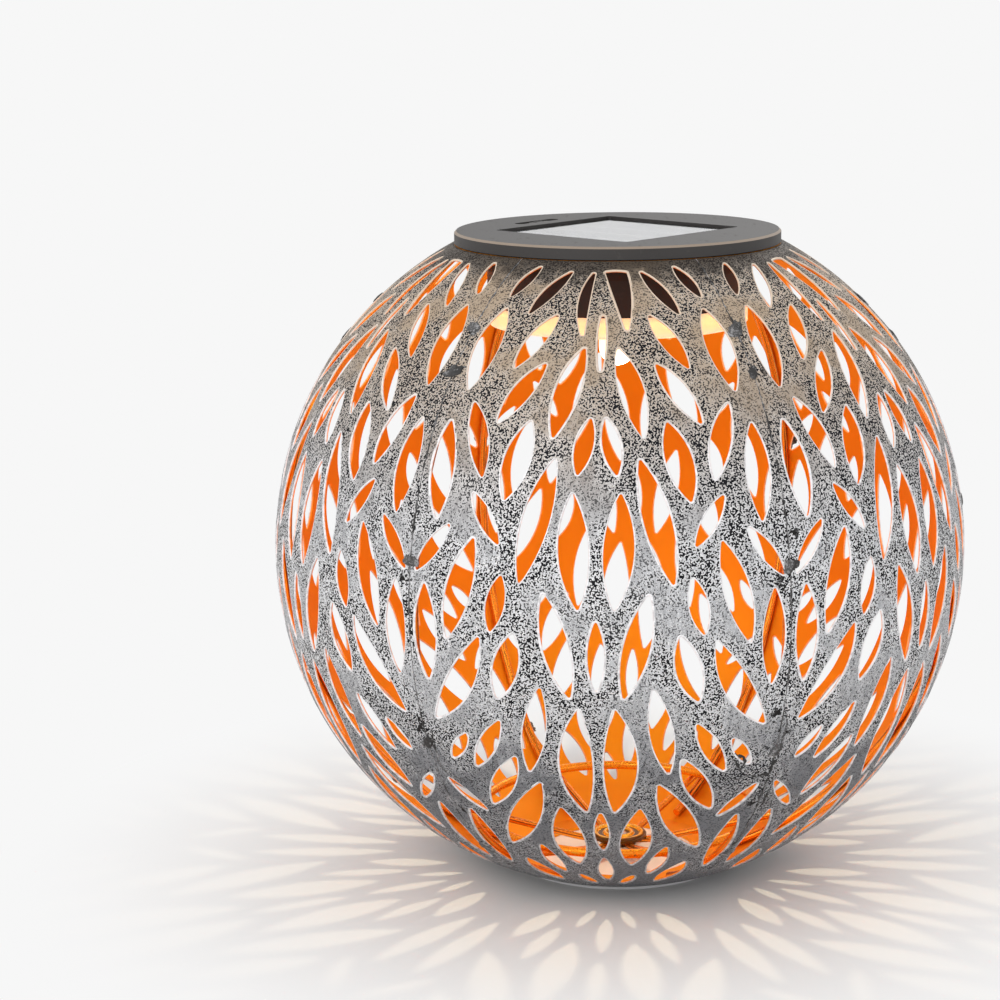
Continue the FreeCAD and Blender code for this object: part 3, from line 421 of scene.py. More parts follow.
def makeGoldFinish(name, light, deep, shadeAndThinPaint):
    # glossy orange-gold paint; the darkening passed in gives painted shade and dark reflections on the rods
    # and hub, and thin paint on the hoop, as the finish and place give it
    look = goldFinish
    finish = Finish(name, Coat_Roughness=0.08)
    place = finish.place()
    skin = finish.grain(place, *look["skin"]["grain"])
    pooled = finish.patches(place, look["pooled"])
    chips = finish.patches(place, look["chips"])
    dark = shadeAndThinPaint(finish, place)
    colour = finish.mix(pooled * look["pooled"]["tint"] + skin * look["skin"]["tint"], light, deep)
    colour = finish.mix(chips * look["chips"]["tint"], colour, look["chips"]["colour"])
    rough = look["roughness"] + skin * look["skin"]["rough"] + chips * look["chips"]["rough"]
    finish.feed(
        Base_Color=finish.mix(dark, colour, look["dark"]["colour"]),
        Roughness=rough + dark * look["dark"]["rough"],
        Metallic=look["metal"] - chips * look["chips"]["metal"] - dark * look["dark"]["metal"],
        Coat_Weight=look["coat"] - chips * look["chips"]["coat"],
        Normal=finish.relief(skin + pooled * look["pooled"]["relief"], *look["relief"]),
    )
    return finish


rodShadeLines = {
    "grain": (2.6, 1, 0.5),         # round the rod
    "waver": {"grain": (45, 2, 0.5), "by": 0.10},
    "from": (0.505, 0.525),
    "to": (0.565, 0.585),
    "tint": 0.95,
}


def rodShadeAndReflections(finish, place):
    # painted shade and dark reflection lines along a drawn rod: they depend on the side of the rod that a
    # point is on
    waver = (finish.grain(place, *rodShadeLines["waver"]["grain"]) - 0.5) * rodShadeLines["waver"]["by"]
    around = finish.grain(finish.facing(), *rodShadeLines["grain"]) + waver
    return around.rise(*rodShadeLines["from"]) * around.fall(*rodShadeLines["to"]) * rodShadeLines["tint"]


hubGrooves = {
    "middles": (0.0040, 0.0082, 0.0120),
    "halfWidth": 0.0013,
    "core": 0.6,                    # share of it that is fully dark
    "ragged": {"grain": (240, 2, 0.5), "by": 0.0008},
    "tint": 0.92,
}


def grooveShadeAndReflections(finish, place):
    # painted shade and dark reflections between the pressed ridges of the hub
    ragged = (finish.grain(place, *hubGrooves["ragged"]["grain"]) - 0.5) * hubGrooves["ragged"]["by"]
    across = awayFromAxis(finish, place) + ragged
    grooveShade = 0
    for middle in hubGrooves["middles"]:
        edge = hubGrooves["halfWidth"]
        grooveShade = (across - middle).magnitude().fall(edge * hubGrooves["core"], edge) + grooveShade
    return grooveShade * hubGrooves["tint"]


thinPaint = {"grain": (30, 2, 0.5), "span": (0.50, 0.75), "tint": 0.15}


def evenPaint(finish, place):
    # a little darker where the paint is thin
    return finish.grain(place, *thinPaint["grain"]).raised(thinPaint)


mouldedFinish = {
    "mould": {"detail": (2, 0.6)},      # of a grain whose scale each plastic has for itself
    "scuffs": {
        "grain": (260, 4, 0.7), "span": (0.56, 0.72), "stretch": (1, 0.25, 1), "turn": (0, 0, 0.6),
        "tint": 0.35, "rough": 0.12},
    "dust": {
        "grain": (1500, 3, 0.7), "span": (0.60, 0.74), "upward": (0.5, 0.95),
        "colour": (0.42, 0.39, 0.35), "tint": 0.30, "rough": 0.15},
    # painted highlight on faces that look half up, such as the disc's chamfer
    "rim": {"from": (0.35, 0.55), "to": (0.80, 0.92), "even": 0.75, "mould": 0.25},
    "relief": (0.00004, 0.55),
}


def makeMouldedFinish(name, colour, scuffed, scale=2600, gloss=0.48, edge=None):
    # fine-grained moulded plastic with scuffs and a little dust on what faces up
    look = mouldedFinish
    finish = Finish(name)
    place = finish.place()
    upward = finish.axes(finish.facing())[2]
    mould = finish.grain(place, scale, *look["mould"]["detail"])
    rubbed = finish.mapped(place, look["scuffs"]["stretch"], look["scuffs"]["turn"])
    scuffs = finish.patches(rubbed, look["scuffs"])
    dust = finish.patches(place, look["dust"]) * upward.rise(*look["dust"]["upward"])
    tone = finish.mix(scuffs * look["scuffs"]["tint"], colour, scuffed)
    tone = finish.mix(dust * look["dust"]["tint"], tone, look["dust"]["colour"])
    # an edge colour is a painted highlight on faces that look half up
    if edge:
        rim = upward.rise(*look["rim"]["from"]) * upward.fall(*look["rim"]["to"])
        tone = finish.mix(rim * (look["rim"]["even"] + mould * look["rim"]["mould"]), tone, edge)
    finish.feed(
        Base_Color=tone,
        Roughness=gloss + scuffs * look["scuffs"]["rough"] + dust * look["dust"]["rough"],
        Normal=finish.relief(mould, *look["relief"]),
    )
    return finish


coverFinish = {
    "clear": (0.96, 0.97, 0.98),
    "smears": {
        "grain": (70, 4, 0.65), "span": (0.5, 0.75), "stretch": (1, 0.3, 1), "turn": (0, 0, 0.5),
        "rough": 0.08},
    "dust": {
        "grain": (900, 2, 0.6), "span": (0.68, 0.74), "colour": (0.70, 0.68, 0.64),
        "tint": 0.5, "rough": 0.4},
    "roughness": 0.04,
}


def makeCoverFinish():
    look = coverFinish
    finish = Finish("clearCover", IOR=1.49, Transmission_Weight=1.0)
    place = finish.place()
    wiped = finish.mapped(place, look["smears"]["stretch"], look["smears"]["turn"])
    smears = finish.patches(wiped, look["smears"])
    dust = finish.patches(place, look["dust"])
    finish.feed(
        Base_Color=finish.mix(dust * look["dust"]["tint"], look["clear"], look["dust"]["colour"]),
        Roughness=look["roughness"] + smears * look["smears"]["rough"] + dust * look["dust"]["rough"],
    )
    return finish


cellFinish = {
    "turn": 49.0,                   # degrees that the panel is turned about the axis
    "deep": (0.006, 0.012, 0.045),
    "light": (0.020, 0.045, 0.130),
    "crystals": {"scale": 260, "rough": 0.1, "relief": 0.3},
    "fingers": {
        "pitch": 0.0022, "width": 0.06, "core": 0.6, "colour": (0.50, 0.52, 0.54),
        "rough": 0.05, "metal": 0.8},
    "roughness": 0.32,
    "relief": (0.00001, 0.3),
}


def makeCellFinish():
    # blue polycrystalline silicon with thin silver fingers across each strip
    look = cellFinish
    fingers = look["fingers"]
    finish = Finish("silicon", Coat_Weight=0.3)
    flat = finish.mapped(finish.place(), turn=(0, 0, -math.radians(look["turn"])))
    tone = finish.axes(finish.cells(flat, look["crystals"]["scale"], "Color"))[0]
    across = (finish.axes(flat)[1] / fingers["pitch"]).folded(0.5)
    lines = across.fall(fingers["width"] * fingers["core"], fingers["width"])
    finish.feed(
        Base_Color=finish.mix(lines, finish.mix(tone, look["deep"], look["light"]), fingers["colour"]),
        Roughness=look["roughness"] - lines * fingers["rough"] + tone * look["crystals"]["rough"],
        Metallic=lines * fingers["metal"],
        Normal=finish.relief(lines + tone * look["crystals"]["relief"], *look["relief"]),
    )
    return finish


metalFinish = {
    "brushed": {"grain": (1100, 3, 0.6), "rough": 0.14},
    "stains": {"grain": (190, 3, 0.6), "span": (0.52, 0.72), "tint": 0.7, "rough": 0.2, "metal": 0.25},
    "roughness": 0.28,
    "relief": (0.00003, 0.6),
}


def makeMetalFinish(name, light, dull, stretch=(1, 1, 1)):
    look = metalFinish
    finish = Finish(name)
    place = finish.place()
    brushed = finish.grain(finish.mapped(place, stretch), *look["brushed"]["grain"])
    stains = finish.patches(place, look["stains"])
    finish.feed(
        Base_Color=finish.mix(stains * look["stains"]["tint"], light, dull),
        Roughness=look["roughness"] + brushed * look["brushed"]["rough"] + stains * look["stains"]["rough"],
        Metallic=1 - stains * look["stains"]["metal"],
        Normal=finish.relief(brushed, *look["relief"]),
    )
    return finish


rubberFinish = {
    "black": (0.018, 0.018, 0.018),
    "grey": (0.055, 0.052, 0.050),
    "pores": {"scale": 1500, "span": (0.10, 0.30)},
    "bloom": {"grain": (130, 3, 0.6), "span": (0.45, 0.75), "tint": 0.6, "rough": 0.15},
    "roughness": 0.72,
    "relief": (0.00005, 0.6),
}


def makeRubberFinish():
    look = rubberFinish
    finish = Finish("blackRubber")
    place = finish.place()
    pores = finish.cells(place, look["pores"]["scale"]).fall(*look["pores"]["span"])
    bloom = finish.patches(place, look["bloom"])
    finish.feed(
        Base_Color=finish.mix(bloom * look["bloom"]["tint"], look["black"], look["grey"]),
        Roughness=look["roughness"] + bloom * look["bloom"]["rough"],
        Normal=finish.relief(1 - pores, *look["relief"]),
    )
    return finish


glow = {"diffuser": 0.42, "bulb": 1.5, "chip": 1.4}

diffuserFinish = {
    "cream": ((0.86, 0.78, 0.58), (0.80, 0.72, 0.50)),
    "lit": ((0.95, 0.76, 0.40), (0.90, 0.82, 0.50)),
    "lip": {"span": (0.0012, 0.0034), "colour": (1.0, 0.92, 0.76), "tint": 0.6},    # from below
    "flow": {"grain": (120, 3, 0.5), "stretch": (1, 1, 0.3)},
    "ribs": {"grain": (1300, 2, 0.5), "rough": 0.1},
    "roughness": 0.38,
    "relief": (0.00003, 0.5),
}


def makeDiffuserFinish():
    # translucent cream plastic, lit from inside and brightest at its lower lip
    look = diffuserFinish
    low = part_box("diffuser_ring")[0]
    finish = Finish("creamDiffuser", Emission_Strength=glow["diffuser"], Subsurface_Weight=0.2)
    place = finish.place()
    start, end = look["lip"]["span"]
    lip = finish.axes(place)[2].fall(low.z + start, low.z + end) * look["lip"]["tint"]
    flow = finish.grain(finish.mapped(place, look["flow"]["stretch"]), *look["flow"]["grain"])
    ribs = finish.grain(place, *look["ribs"]["grain"])
    lit = finish.mix(flow, *look["lit"])
    finish.feed(
        Base_Color=finish.mix(flow, *look["cream"]),
        Emission_Color=finish.mix(lip, lit, look["lip"]["colour"]),
        Roughness=look["roughness"] + ribs * look["ribs"]["rough"],
        Normal=finish.relief(ribs, *look["relief"]),
    )
    return finish


bulbFinish = {
    "skin": ((0.96, 0.93, 0.86), (0.88, 0.84, 0.76)),
    "lit": ((0.70, 0.40, 0.14), (1.0, 0.86, 0.56)),
    "frost": {"grain": (2400, 2, 0.6), "tint": 0.3, "glow": 0.3},
    "hot": {"span": (0.006, 0.020), "glow": 0.8},       # from the bulb's tip
    "relief": (0.00003, 0.5),
}


def makeBulbFinish():
    look = bulbFinish
    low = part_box("bulb_cover")[0]
    finish = Finish("frostedBulb", Emission_Strength=glow["bulb"], Roughness=0.35)
    place = finish.place()
    frost = finish.grain(place, *look["frost"]["grain"])
    start, end = look["hot"]["span"]
    hot = finish.axes(place)[2].fall(low.z + start, low.z + end)
    lit = hot * (look["hot"]["glow"] + frost * look["frost"]["glow"])
    finish.feed(
        Base_Color=finish.mix(frost * look["frost"]["tint"], *look["skin"]),
        Emission_Color=finish.mix(lit, *look["lit"]),
        Normal=finish.relief(frost, *look["relief"]),
    )
    return finish


chipFinish = {
    "gel": {"grain": (1800, 2, 0.5), "rough": 0.2},
    "yellow": ((0.95, 0.72, 0.12), (0.85, 0.58, 0.06)),
    "lit": ((1.0, 0.80, 0.42), (1.0, 0.70, 0.30)),
    "roughness": 0.25,
}


def makeChipFinish():
    look = chipFinish
    finish = Finish("ledChip", Emission_Strength=glow["chip"])
    gel = finish.grain(finish.place(), *look["gel"]["grain"])
    finish.feed(
        Base_Color=finish.mix(gel, *look["yellow"]),
        Emission_Color=finish.mix(gel, *look["lit"]),
        Roughness=look["roughness"] + gel * look["gel"]["rough"],
    )
    return finish


boardFinish = {
    "resist": ((0.010, 0.085, 0.030), (0.016, 0.120, 0.045)),
    "tracks": {
        "layout": {"offset": 0.37, "squash": 1.6, "squash_frequency": 3},
        "sizes": {
            "Scale": 260.0, "Mortar Size": 0.012, "Mortar Smooth": 0.1,
            "Brick Width": 0.9, "Row Height": 0.42},
        "colour": (0.035, 0.190, 0.060), "tint": 0.7},
    "pads": {"scale": 420, "span": (0.10, 0.16), "colour": (0.55, 0.53, 0.48), "rough": 0.1, "metal": 0.8},
    "weave": {"grain": (1900, 2, 0.5), "tint": 0.5, "relief": 0.2},
    "roughness": 0.34,
    "relief": (0.00003, 0.6),
}


def makeBoardFinish():
    # solder-resist green with copper tracks below it
    look = boardFinish
    finish = Finish("circuitBoard", Coat_Weight=0.25)
    place = finish.place()
    sizes = {"Vector": place, **look["tracks"]["sizes"]}
    tracks = finish.node("ShaderNodeTexBrick", look["tracks"]["layout"], sizes, "Fac")
    pads = finish.cells(place, look["pads"]["scale"]).fall(*look["pads"]["span"])
    weave = finish.grain(place, *look["weave"]["grain"])
    green = finish.mix(weave * look["weave"]["tint"], *look["resist"])
    green = finish.mix(tracks * look["tracks"]["tint"], green, look["tracks"]["colour"])
    finish.feed(
        Base_Color=finish.mix(pads, green, look["pads"]["colour"]),
        Roughness=look["roughness"] - pads * look["pads"]["rough"],
        Metallic=pads * look["pads"]["metal"],
        Normal=finish.relief(tracks + weave * look["weave"]["relief"], *look["relief"]),
    )
    return finish


batteryFinish = {
    "green": (0.018, 0.120, 0.060),
    "band": {"colour": (0.55, 0.55, 0.53), "span": (0.0150, 0.0146), "metal": 0.5},     # from its high end
    "bare": {"colour": (0.70, 0.69, 0.66), "high": (0.0018, 0.0016), "low": (0.0006, 0.0008), "metal": 0.9},
    "film": {
        "grain": (420, 3, 0.6), "stretch": (0.2, 1, 1), "colour": (0.30, 0.32, 0.30),
        "tint": 0.2, "rough": 0.12},
    "roughness": 0.30,
    "relief": (0.00004, 0.4),
}


def makeBatteryFinish():
    # a plain sleeve with a broad band at its positive end
    look = batteryFinish
    low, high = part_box("battery_cell")
    finish = Finish("batterySleeve", Coat_Weight=0.4)
    place = finish.place()
    along = finish.axes(place)[0]
    band = along.rise(*(high.x - inset for inset in look["band"]["span"]))
    bare = along.rise(*(high.x - inset for inset in look["bare"]["high"]))
    bare = bare.larger(along.fall(*(low.x + inset for inset in look["bare"]["low"])))
    film = finish.grain(finish.mapped(place, look["film"]["stretch"]), *look["film"]["grain"])
    sleeve = finish.mix(band, look["green"], look["band"]["colour"])
    sleeve = finish.mix(film * look["film"]["tint"], sleeve, look["film"]["colour"])
    finish.feed(
        Base_Color=finish.mix(bare, sleeve, look["bare"]["colour"]),
        Roughness=look["roughness"] + film * look["film"]["rough"],
        Metallic=bare * look["bare"]["metal"] + band * (1 - bare) * look["band"]["metal"],
        Normal=finish.relief(film, *look["relief"]),
    )
    return finish


leadFinish = {
    "skin": {"grain": (1600, 2, 0.5), "span": (0.4, 0.7), "tint": 0.5, "rough": 0.14},
    "roughness": 0.36,
    "relief": (0.00003, 0.4),
}


def makeLeadFinish(name, colour, worn):
    look = leadFinish
    finish = Finish(name)
    skin = finish.grain(finish.place(), *look["skin"]["grain"])
    finish.feed(
        Base_Color=finish.mix(skin.raised(look["skin"]), colour, worn),
        Roughness=look["roughness"] + skin * look["skin"]["rough"],
        Normal=finish.relief(skin, *look["relief"]),
    )
    return finish


golds = {
    "rod": {"light": (1.00, 0.42, 0.030), "deep": (0.94, 0.24, 0.012), "shadeAndThinPaint": rodShadeAndReflections},
    "hub": {"light": (1.00, 0.62, 0.050), "deep": (1.00, 0.46, 0.030), "shadeAndThinPaint": grooveShadeAndReflections},
    "hoop": {"light": (0.98, 0.44, 0.022), "deep": (0.96, 0.38, 0.018), "shadeAndThinPaint": evenPaint},
}
plastics = {
    # the collar's near-black brown is painted shade under the disc
    "collar": {
        "colour": (0.016, 0.009, 0.006), "scuffed": (0.045, 0.026, 0.018), "scale": 1800, "gloss": 0.55},
    "disc": {
        "colour": (0.031, 0.028, 0.027), "scuffed": (0.075, 0.067, 0.062), "scale": 2200, "gloss": 0.50,
        # the disc's edge colour is a painted highlight along its chamfer
        "edge": (0.34, 0.27, 0.21)},
    "housing": {"colour": (0.016, 0.014, 0.014), "scuffed": (0.050, 0.045, 0.044)},
    "door": {"colour": (0.020, 0.018, 0.018), "scuffed": (0.060, 0.055, 0.052), "scale": 2000},
    "component": {
        "colour": (0.022, 0.022, 0.024), "scuffed": (0.075, 0.075, 0.078), "scale": 3200, "gloss": 0.52},
    "knob": {
        "colour": (0.045, 0.042, 0.040), "scuffed": (0.120, 0.112, 0.104), "scale": 2400, "gloss": 0.36},
    "white": {"colour": (0.80, 0.79, 0.76), "scuffed": (0.62, 0.60, 0.56), "scale": 2400, "gloss": 0.40},
}
metals = {
    "tinned": {"light": (0.74, 0.74, 0.72), "dull": (0.48, 0.47, 0.44), "stretch": (1, 1, 0.2)},
    "zinc": {"light": (0.66, 0.66, 0.64), "dull": (0.40, 0.39, 0.36)},
}
leads = {
    "red": {"colour": (0.42, 0.018, 0.014), "worn": (0.55, 0.06, 0.05)},
    "black": {"colour": (0.018, 0.018, 0.018), "worn": (0.06, 0.06, 0.06)},
}

edgeLook = makeEdgeFinish()
solderLook = makeSolderFinish()
whiteLook = makeMouldedFinish("whitePlastic", **plastics["white"])
gores = ["gore_panel_%d" % (number + 1) for number in range(globe["gores"])]
ribs = ["seam_rib_%d" % (number + 1) for number in range(globe["gores"])]
dress(makeSheetFinish(), *gores, "foot_ring")
dress(makeGoldFinish("orangeRod", **golds["rod"]), *ribs, "brace_arms")
dress(makeGoldFinish("hoopPaint", **golds["hoop"]), "brace_hoop")
dress(makeGoldFinish("goldPressing", **golds["hub"]), "base_hub")
dress(makeMouldedFinish("shadedCollar", **plastics["collar"]), "top_collar")
dress(makeMetalFinish("zinc", **metals["zinc"]),
      "hub_washer", "hub_rivet", "housing_screws", "board_screws", "switch_screws", "door_hinge_pin")
dress(makeMouldedFinish("discPlastic", **plastics["disc"]), "top_bezel")
dress(makeMouldedFinish("housingPlastic", **plastics["housing"]), "housing_can", "battery_tray")
dress(makeMouldedFinish("doorPlastic", **plastics["door"]), "battery_door")
dress(makeMouldedFinish("componentBlack", **plastics["component"]), "switch_body", "board_parts")
dress(makeMouldedFinish("knobPlastic", **plastics["knob"]), "switch_knob")
dress(whiteLook, "bulb_socket", "reflector_cup", "board_plugs")
dress(makeCoverFinish(), "solar_cover")
dress(makeCellFinish(), "solar_cells")
dress(makeMetalFinish("tinned", **metals["tinned"]), "cell_busbars", "spring_contact", "plate_contact")
dress(makeRubberFinish(), "collar_gasket", "panel_sealant", "housing_seal", "door_seal")
dress(makeDiffuserFinish(), "diffuser_ring")
dress(makeBulbFinish(), "bulb_cover")
dress(makeChipFinish(), "led_chips")
dress(makeBoardFinish(), "solar_backing", "led_board", "control_board")
dress(makeBatteryFinish(), "battery_cell")
dress(makeLeadFinish("redLead", **leads["red"]), "led_leads", "solar_leads")
dress(makeLeadFinish("blackLead", **leads["black"]), "battery_leads", "switch_leads")
print("finishes made")


noiseSeed = 11
noise.seed_set(noiseSeed)       # noise_vector would start from the clock, and each run would differ


def addObject(name, data):
    made = bpy.data.objects.new(name, data)
    bpy.context.scene.collection.objects.link(made)
    return made


def onlyThis(piece):
    bpy.ops.object.select_all(action="DESELECT")
    piece.select_set(True)
    bpy.context.view_layer.objects.active = piece


def fromCentre(point):
    return (point - globeCentre).length


def seamDistance(point):
    # along the ground, from a point to the nearest seam
    azimuth = math.degrees(math.atan2(point.x, -point.y))
    turns = (azimuth - globe["firstSeam"]) / goreStep
    return abs(turns - round(turns)) * math.radians(goreStep) * math.hypot(point.x, point.y)


def keepUnderSkin(mesh, limit):
    # no point of the mesh stands further from the globe's centre than limit
    for vertex in mesh.vertices:
        away = vertex.co - globeCentre
        if away.length > limit:
            vertex.co = globeCentre + away * (limit / away.length)


cutEdge = {
    "wire": 0.00055,        # radius of the rounded edge
    "depth": 0.00036,       # its middle below the outer surface
    "weld": 0.00002,        # points nearer than this are one
    "sharp": 50,            # degrees between the two faces of an edge
    "border": 0.0006,       # a gore's own border, which isn't an opening
}


def makeCutEdge(name, goreName):
    # the rounded lip of every opening of one gore, drawn along the sheet's outer cut edges
    lip = addObject(name, nodes[goreName].data.copy())
    lip.data.materials.clear()
    low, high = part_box(goreName)
    onlyThis(lip)
    bpy.ops.object.mode_set(mode="EDIT")
    bpy.ops.mesh.select_mode(type="EDGE")
    bpy.ops.mesh.select_all(action="SELECT")
    bpy.ops.mesh.remove_doubles(threshold=cutEdge["weld"])
    bpy.ops.mesh.select_all(action="DESELECT")
    drawn = bmesh.from_edit_mesh(lip.data)

    def onOpening(edge):
        if len(edge.link_faces) != 2 or edge.calc_face_angle() < math.radians(cutEdge["sharp"]):
            return False
        if min(fromCentre(vertex.co) for vertex in edge.verts) < globe["radius"] - globe["sheet"] / 2:
            return False
        middle = (edge.verts[0].co + edge.verts[1].co) / 2
        if middle.z < low.z + cutEdge["border"] or middle.z > high.z - cutEdge["border"]:
            return False
        return seamDistance(middle) > cutEdge["border"]

    wanted = {edge.index for edge in drawn.edges if onOpening(edge)}
    for face in list(drawn.faces):
        drawn.faces.remove(face)
    for edge in drawn.edges:
        edge.select = edge.index not in wanted
    bmesh.update_edit_mesh(lip.data)
    bpy.ops.mesh.delete(type="EDGE")
    bpy.ops.mesh.select_all(action="SELECT")
    shrink = 1 - cutEdge["depth"] / globe["radius"]
    bpy.ops.transform.resize(value=(shrink,) * 3, center_override=globeCentre)
    bpy.ops.object.mode_set(mode="OBJECT")
    bpy.ops.object.convert(target="CURVE")
    lip.data.bevel_depth = cutEdge["wire"]
    lip.data.bevel_resolution = 1
    bpy.ops.object.convert(target="MESH")
    keepUnderSkin(lip.data, globe["radius"])
    bpy.ops.object.shade_smooth()
    return lip


def copyAround(first, names, step):
    # copies of a finished piece, each with its own mesh, turned about the axis
    copies = [first]
    for number, name in enumerate(names[1:], 1):
        copy = addObject(name, first.data.copy())
        copy.data.transform(Matrix.Rotation(math.radians(step * number), 4, "Z"))
        copies.append(copy)
    return copies


seamBead = {
    "wire": 0.00042,
    "sides": 8,
    "depth": 0.00030,       # its middle below the outer surface
    "low": -71.5,           # latitudes of its ends
    "high": 61.0,
    "steps": 150,
    "wander": 0.00060,
    "rough": ((420, 1), (1300, 0.5)),       # each noise's scale and share
    "spread": 9,            # how far apart the seams' noises may lie
    "seed": 11,
}


def seamPlane(number):
    # the outward, level direction of one seam
    azimuth = math.radians(globe["firstSeam"] + goreStep * number)
    return Vector((math.sin(azimuth), -math.cos(azimuth), 0))


def makeSeamBead(name, number):
    # a ragged bead of solder in one seam, spun from a ring along the meridian
    outward = seamPlane(number)
    sideways = Vector((0, 0, 1)).cross(outward)
    low = math.radians(seamBead["low"])
    run = globe["radius"] - seamBead["depth"]
    start = globeCentre + (outward * math.cos(low) + Vector((0, 0, math.sin(low)))) * run
    along = (Vector((0, 0, math.cos(low))) - outward * math.sin(low)).to_track_quat("Z", "Y")
    bpy.ops.object.select_all(action="DESELECT")
    bpy.ops.mesh.primitive_circle_add(
        vertices=seamBead["sides"], radius=seamBead["wire"], fill_type="NGON",
        location=start, rotation=along.to_euler())
    bead = bpy.context.object
    bead.name = name
    bpy.ops.object.transform_apply(location=True, rotation=True, scale=True)
    bpy.ops.object.mode_set(mode="EDIT")
    bpy.ops.mesh.select_all(action="SELECT")
    turn = math.radians(seamBead["high"] - seamBead["low"])
    bpy.ops.mesh.spin(steps=seamBead["steps"], angle=turn, center=globeCentre, axis=sideways)
    bpy.ops.mesh.select_all(action="SELECT")
    bpy.ops.mesh.remove_doubles(threshold=cutEdge["weld"])
    bpy.ops.mesh.normals_make_consistent(inside=False)
    bpy.ops.object.mode_set(mode="OBJECT")
    chance = random.Random(seamBead["seed"] + number)
    shift = Vector([chance.uniform(0, seamBead["spread"]) for axis in range(3)])
    for vertex in bead.data.vertices:
        point = vertex.co + shift
        rough = [noise.noise_vector(point * scale) * share for scale, share in seamBead["rough"]]
        vertex.co += sum(rough, Vector()) * seamBead["wander"]
    keepUnderSkin(bead.data, globe["radius"])
    onlyThis(bead)
    bpy.ops.object.shade_smooth()
    return bead


weldLump = {
    "latitudes": (46.0, 38.0, 8.0, -22.0, -48.0),
    "width": 0.0026,
    "widths": (0.75, 1.25),     # in widths, as chance has it
    "lengths": (1.1, 1.7),
    "height": 0.0007,
    "sunk": 0.0001,             # its middle below the outer surface
    "torn": ((1.3, 0.55), (3.1, 0.30)),     # each noise's scale and share
    "tornHeight": 0.4,
    "spread": 9,
    "fineness": 4,              # subdivisions of each lump
    "seed": 5,
}


def makeWeldLumps(name):
    # flat, torn lumps of solder over the seams
    chance = random.Random(weldLump["seed"])
    middle = globe["radius"] - weldLump["sunk"]
    lumps = []
    for number in range(globe["gores"]):
        outward = seamPlane(number)
        for latitude in weldLump["latitudes"]:
            tilt = math.radians(latitude)
            normal = outward * math.cos(tilt) + Vector((0, 0, math.sin(tilt)))
            width = weldLump["width"] * chance.uniform(*weldLump["widths"])
            bpy.ops.object.select_all(action="DESELECT")
            bpy.ops.mesh.primitive_ico_sphere_add(subdivisions=weldLump["fineness"], radius=1)
            lump = bpy.context.object
            size = Vector((width, width * chance.uniform(*weldLump["lengths"]), weldLump["height"]))
            turn = normal.to_track_quat("Z", "Y") @ Quaternion((0, 0, 1), chance.uniform(0, math.pi))
            shift = Vector([chance.uniform(0, weldLump["spread"]) for axis in range(3)])
            for vertex in lump.data.vertices:
                point = vertex.co.copy()
                torn = sum(noise.noise(point * scale + shift) * share for scale, share in weldLump["torn"])
                point.x *= 1 + torn
                point.y *= 1 + torn
                point.z *= 1 + torn * weldLump["tornHeight"]
                vertex.co = globeCentre + turn @ (point * size) + normal * middle
            lumps.append(lump)
    bpy.ops.object.select_all(action="DESELECT")
    for lump in lumps:
        lump.select_set(True)
    bpy.context.view_layer.objects.active = lumps[0]
    bpy.ops.object.join()
    lumps[0].name = name
    bpy.ops.object.shade_smooth()
    return lumps[0]


# Solder that ran or tore beside two seams, as azimuth and latitude along each run.
solderRun = {
    "wire": 0.00055,
    "depth": 0.00025,
    "step": 0.0006,
    "wander": 0.00045,
    "bends": ((260, 3), (900, 1)),      # each noise's scale and its share of the wander
    "frayed": (1500, 0.6),
    "thickness": (700, 0.9),
    "shrink": 0.6,          # how much thinner a run's ends are
    "taper": 4,             # the higher, the shorter its thin ends
    "proud": 0.6,           # how far it may stand out, in wires
    "runs": (
        ((17.6, -29.0), (20.5, -27.0), (24.3, -26.9), (26.8, -26.9),
         (27.5, -22.0), (27.7, -16.8), (26.2, -12.6)),
        ((28.2, -28.6), (27.9, -32.4), (27.4, -34.3)),
        ((18.7, -22.7), (20.7, -25.3), (21.6, -23.4), (19.6, -21.6)),
        ((-31.5, -19.2), (-32.4, -23.8), (-32.2, -25.6), (-31.7, -27.6), (-25.9, -28.7)),
    ),
}


def onSkin(azimuth, latitude, radius):
    around, up = math.radians(azimuth), math.radians(latitude)
    level = Vector((math.sin(around), -math.cos(around), 0)) * math.cos(up)
    return globeCentre + (level + Vector((0, 0, math.sin(up)))) * radius


def makeSolderRuns(name):
    # ragged strings of solder that follow the globe's skin
    path = bpy.data.curves.new(name, "CURVE")
    path.dimensions = "3D"
    radius = globe["radius"] - solderRun["depth"]
    knots, swell = solderRun["thickness"]
    for run in solderRun["runs"]:
        corners = [onSkin(azimuth, latitude, radius) for azimuth, latitude in run]
        points = []
        for start, end in zip(corners, corners[1:]):
            count = max(2, round((end - start).length / solderRun["step"]))
            points += [start.lerp(end, number / count) for number in range(count)]
        points.append(corners[-1])
        spline = path.splines.new("POLY")
        spline.points.add(len(points) - 1)
        for number, (spot, point) in enumerate(zip(spline.points, points)):
            for scale, share in solderRun["bends"]:
                point += noise.noise_vector(point * scale) * solderRun["wander"] * share
            away = point - globeCentre
            spot.co = (*(globeCentre + away * (radius / away.length)), 1)
            fromMiddle = abs(2 * number / (len(points) - 1) - 1)
            thick = 1 - fromMiddle ** solderRun["taper"] * solderRun["shrink"]
            spot.radius = thick * (1 + noise.noise(point * knots) * swell)
    path.bevel_depth = solderRun["wire"]
    path.bevel_resolution = 2
    path.use_fill_caps = True
    strings = addObject(name, path)
    onlyThis(strings)
    bpy.ops.object.convert(target="MESH")
    scale, share = solderRun["frayed"]
    for vertex in strings.data.vertices:
        vertex.co += noise.noise_vector(vertex.co * scale) * solderRun["wander"] * share
    keepUnderSkin(strings.data, globe["radius"] + solderRun["wire"] * solderRun["proud"])
    bpy.ops.object.shade_smooth()
    return strings


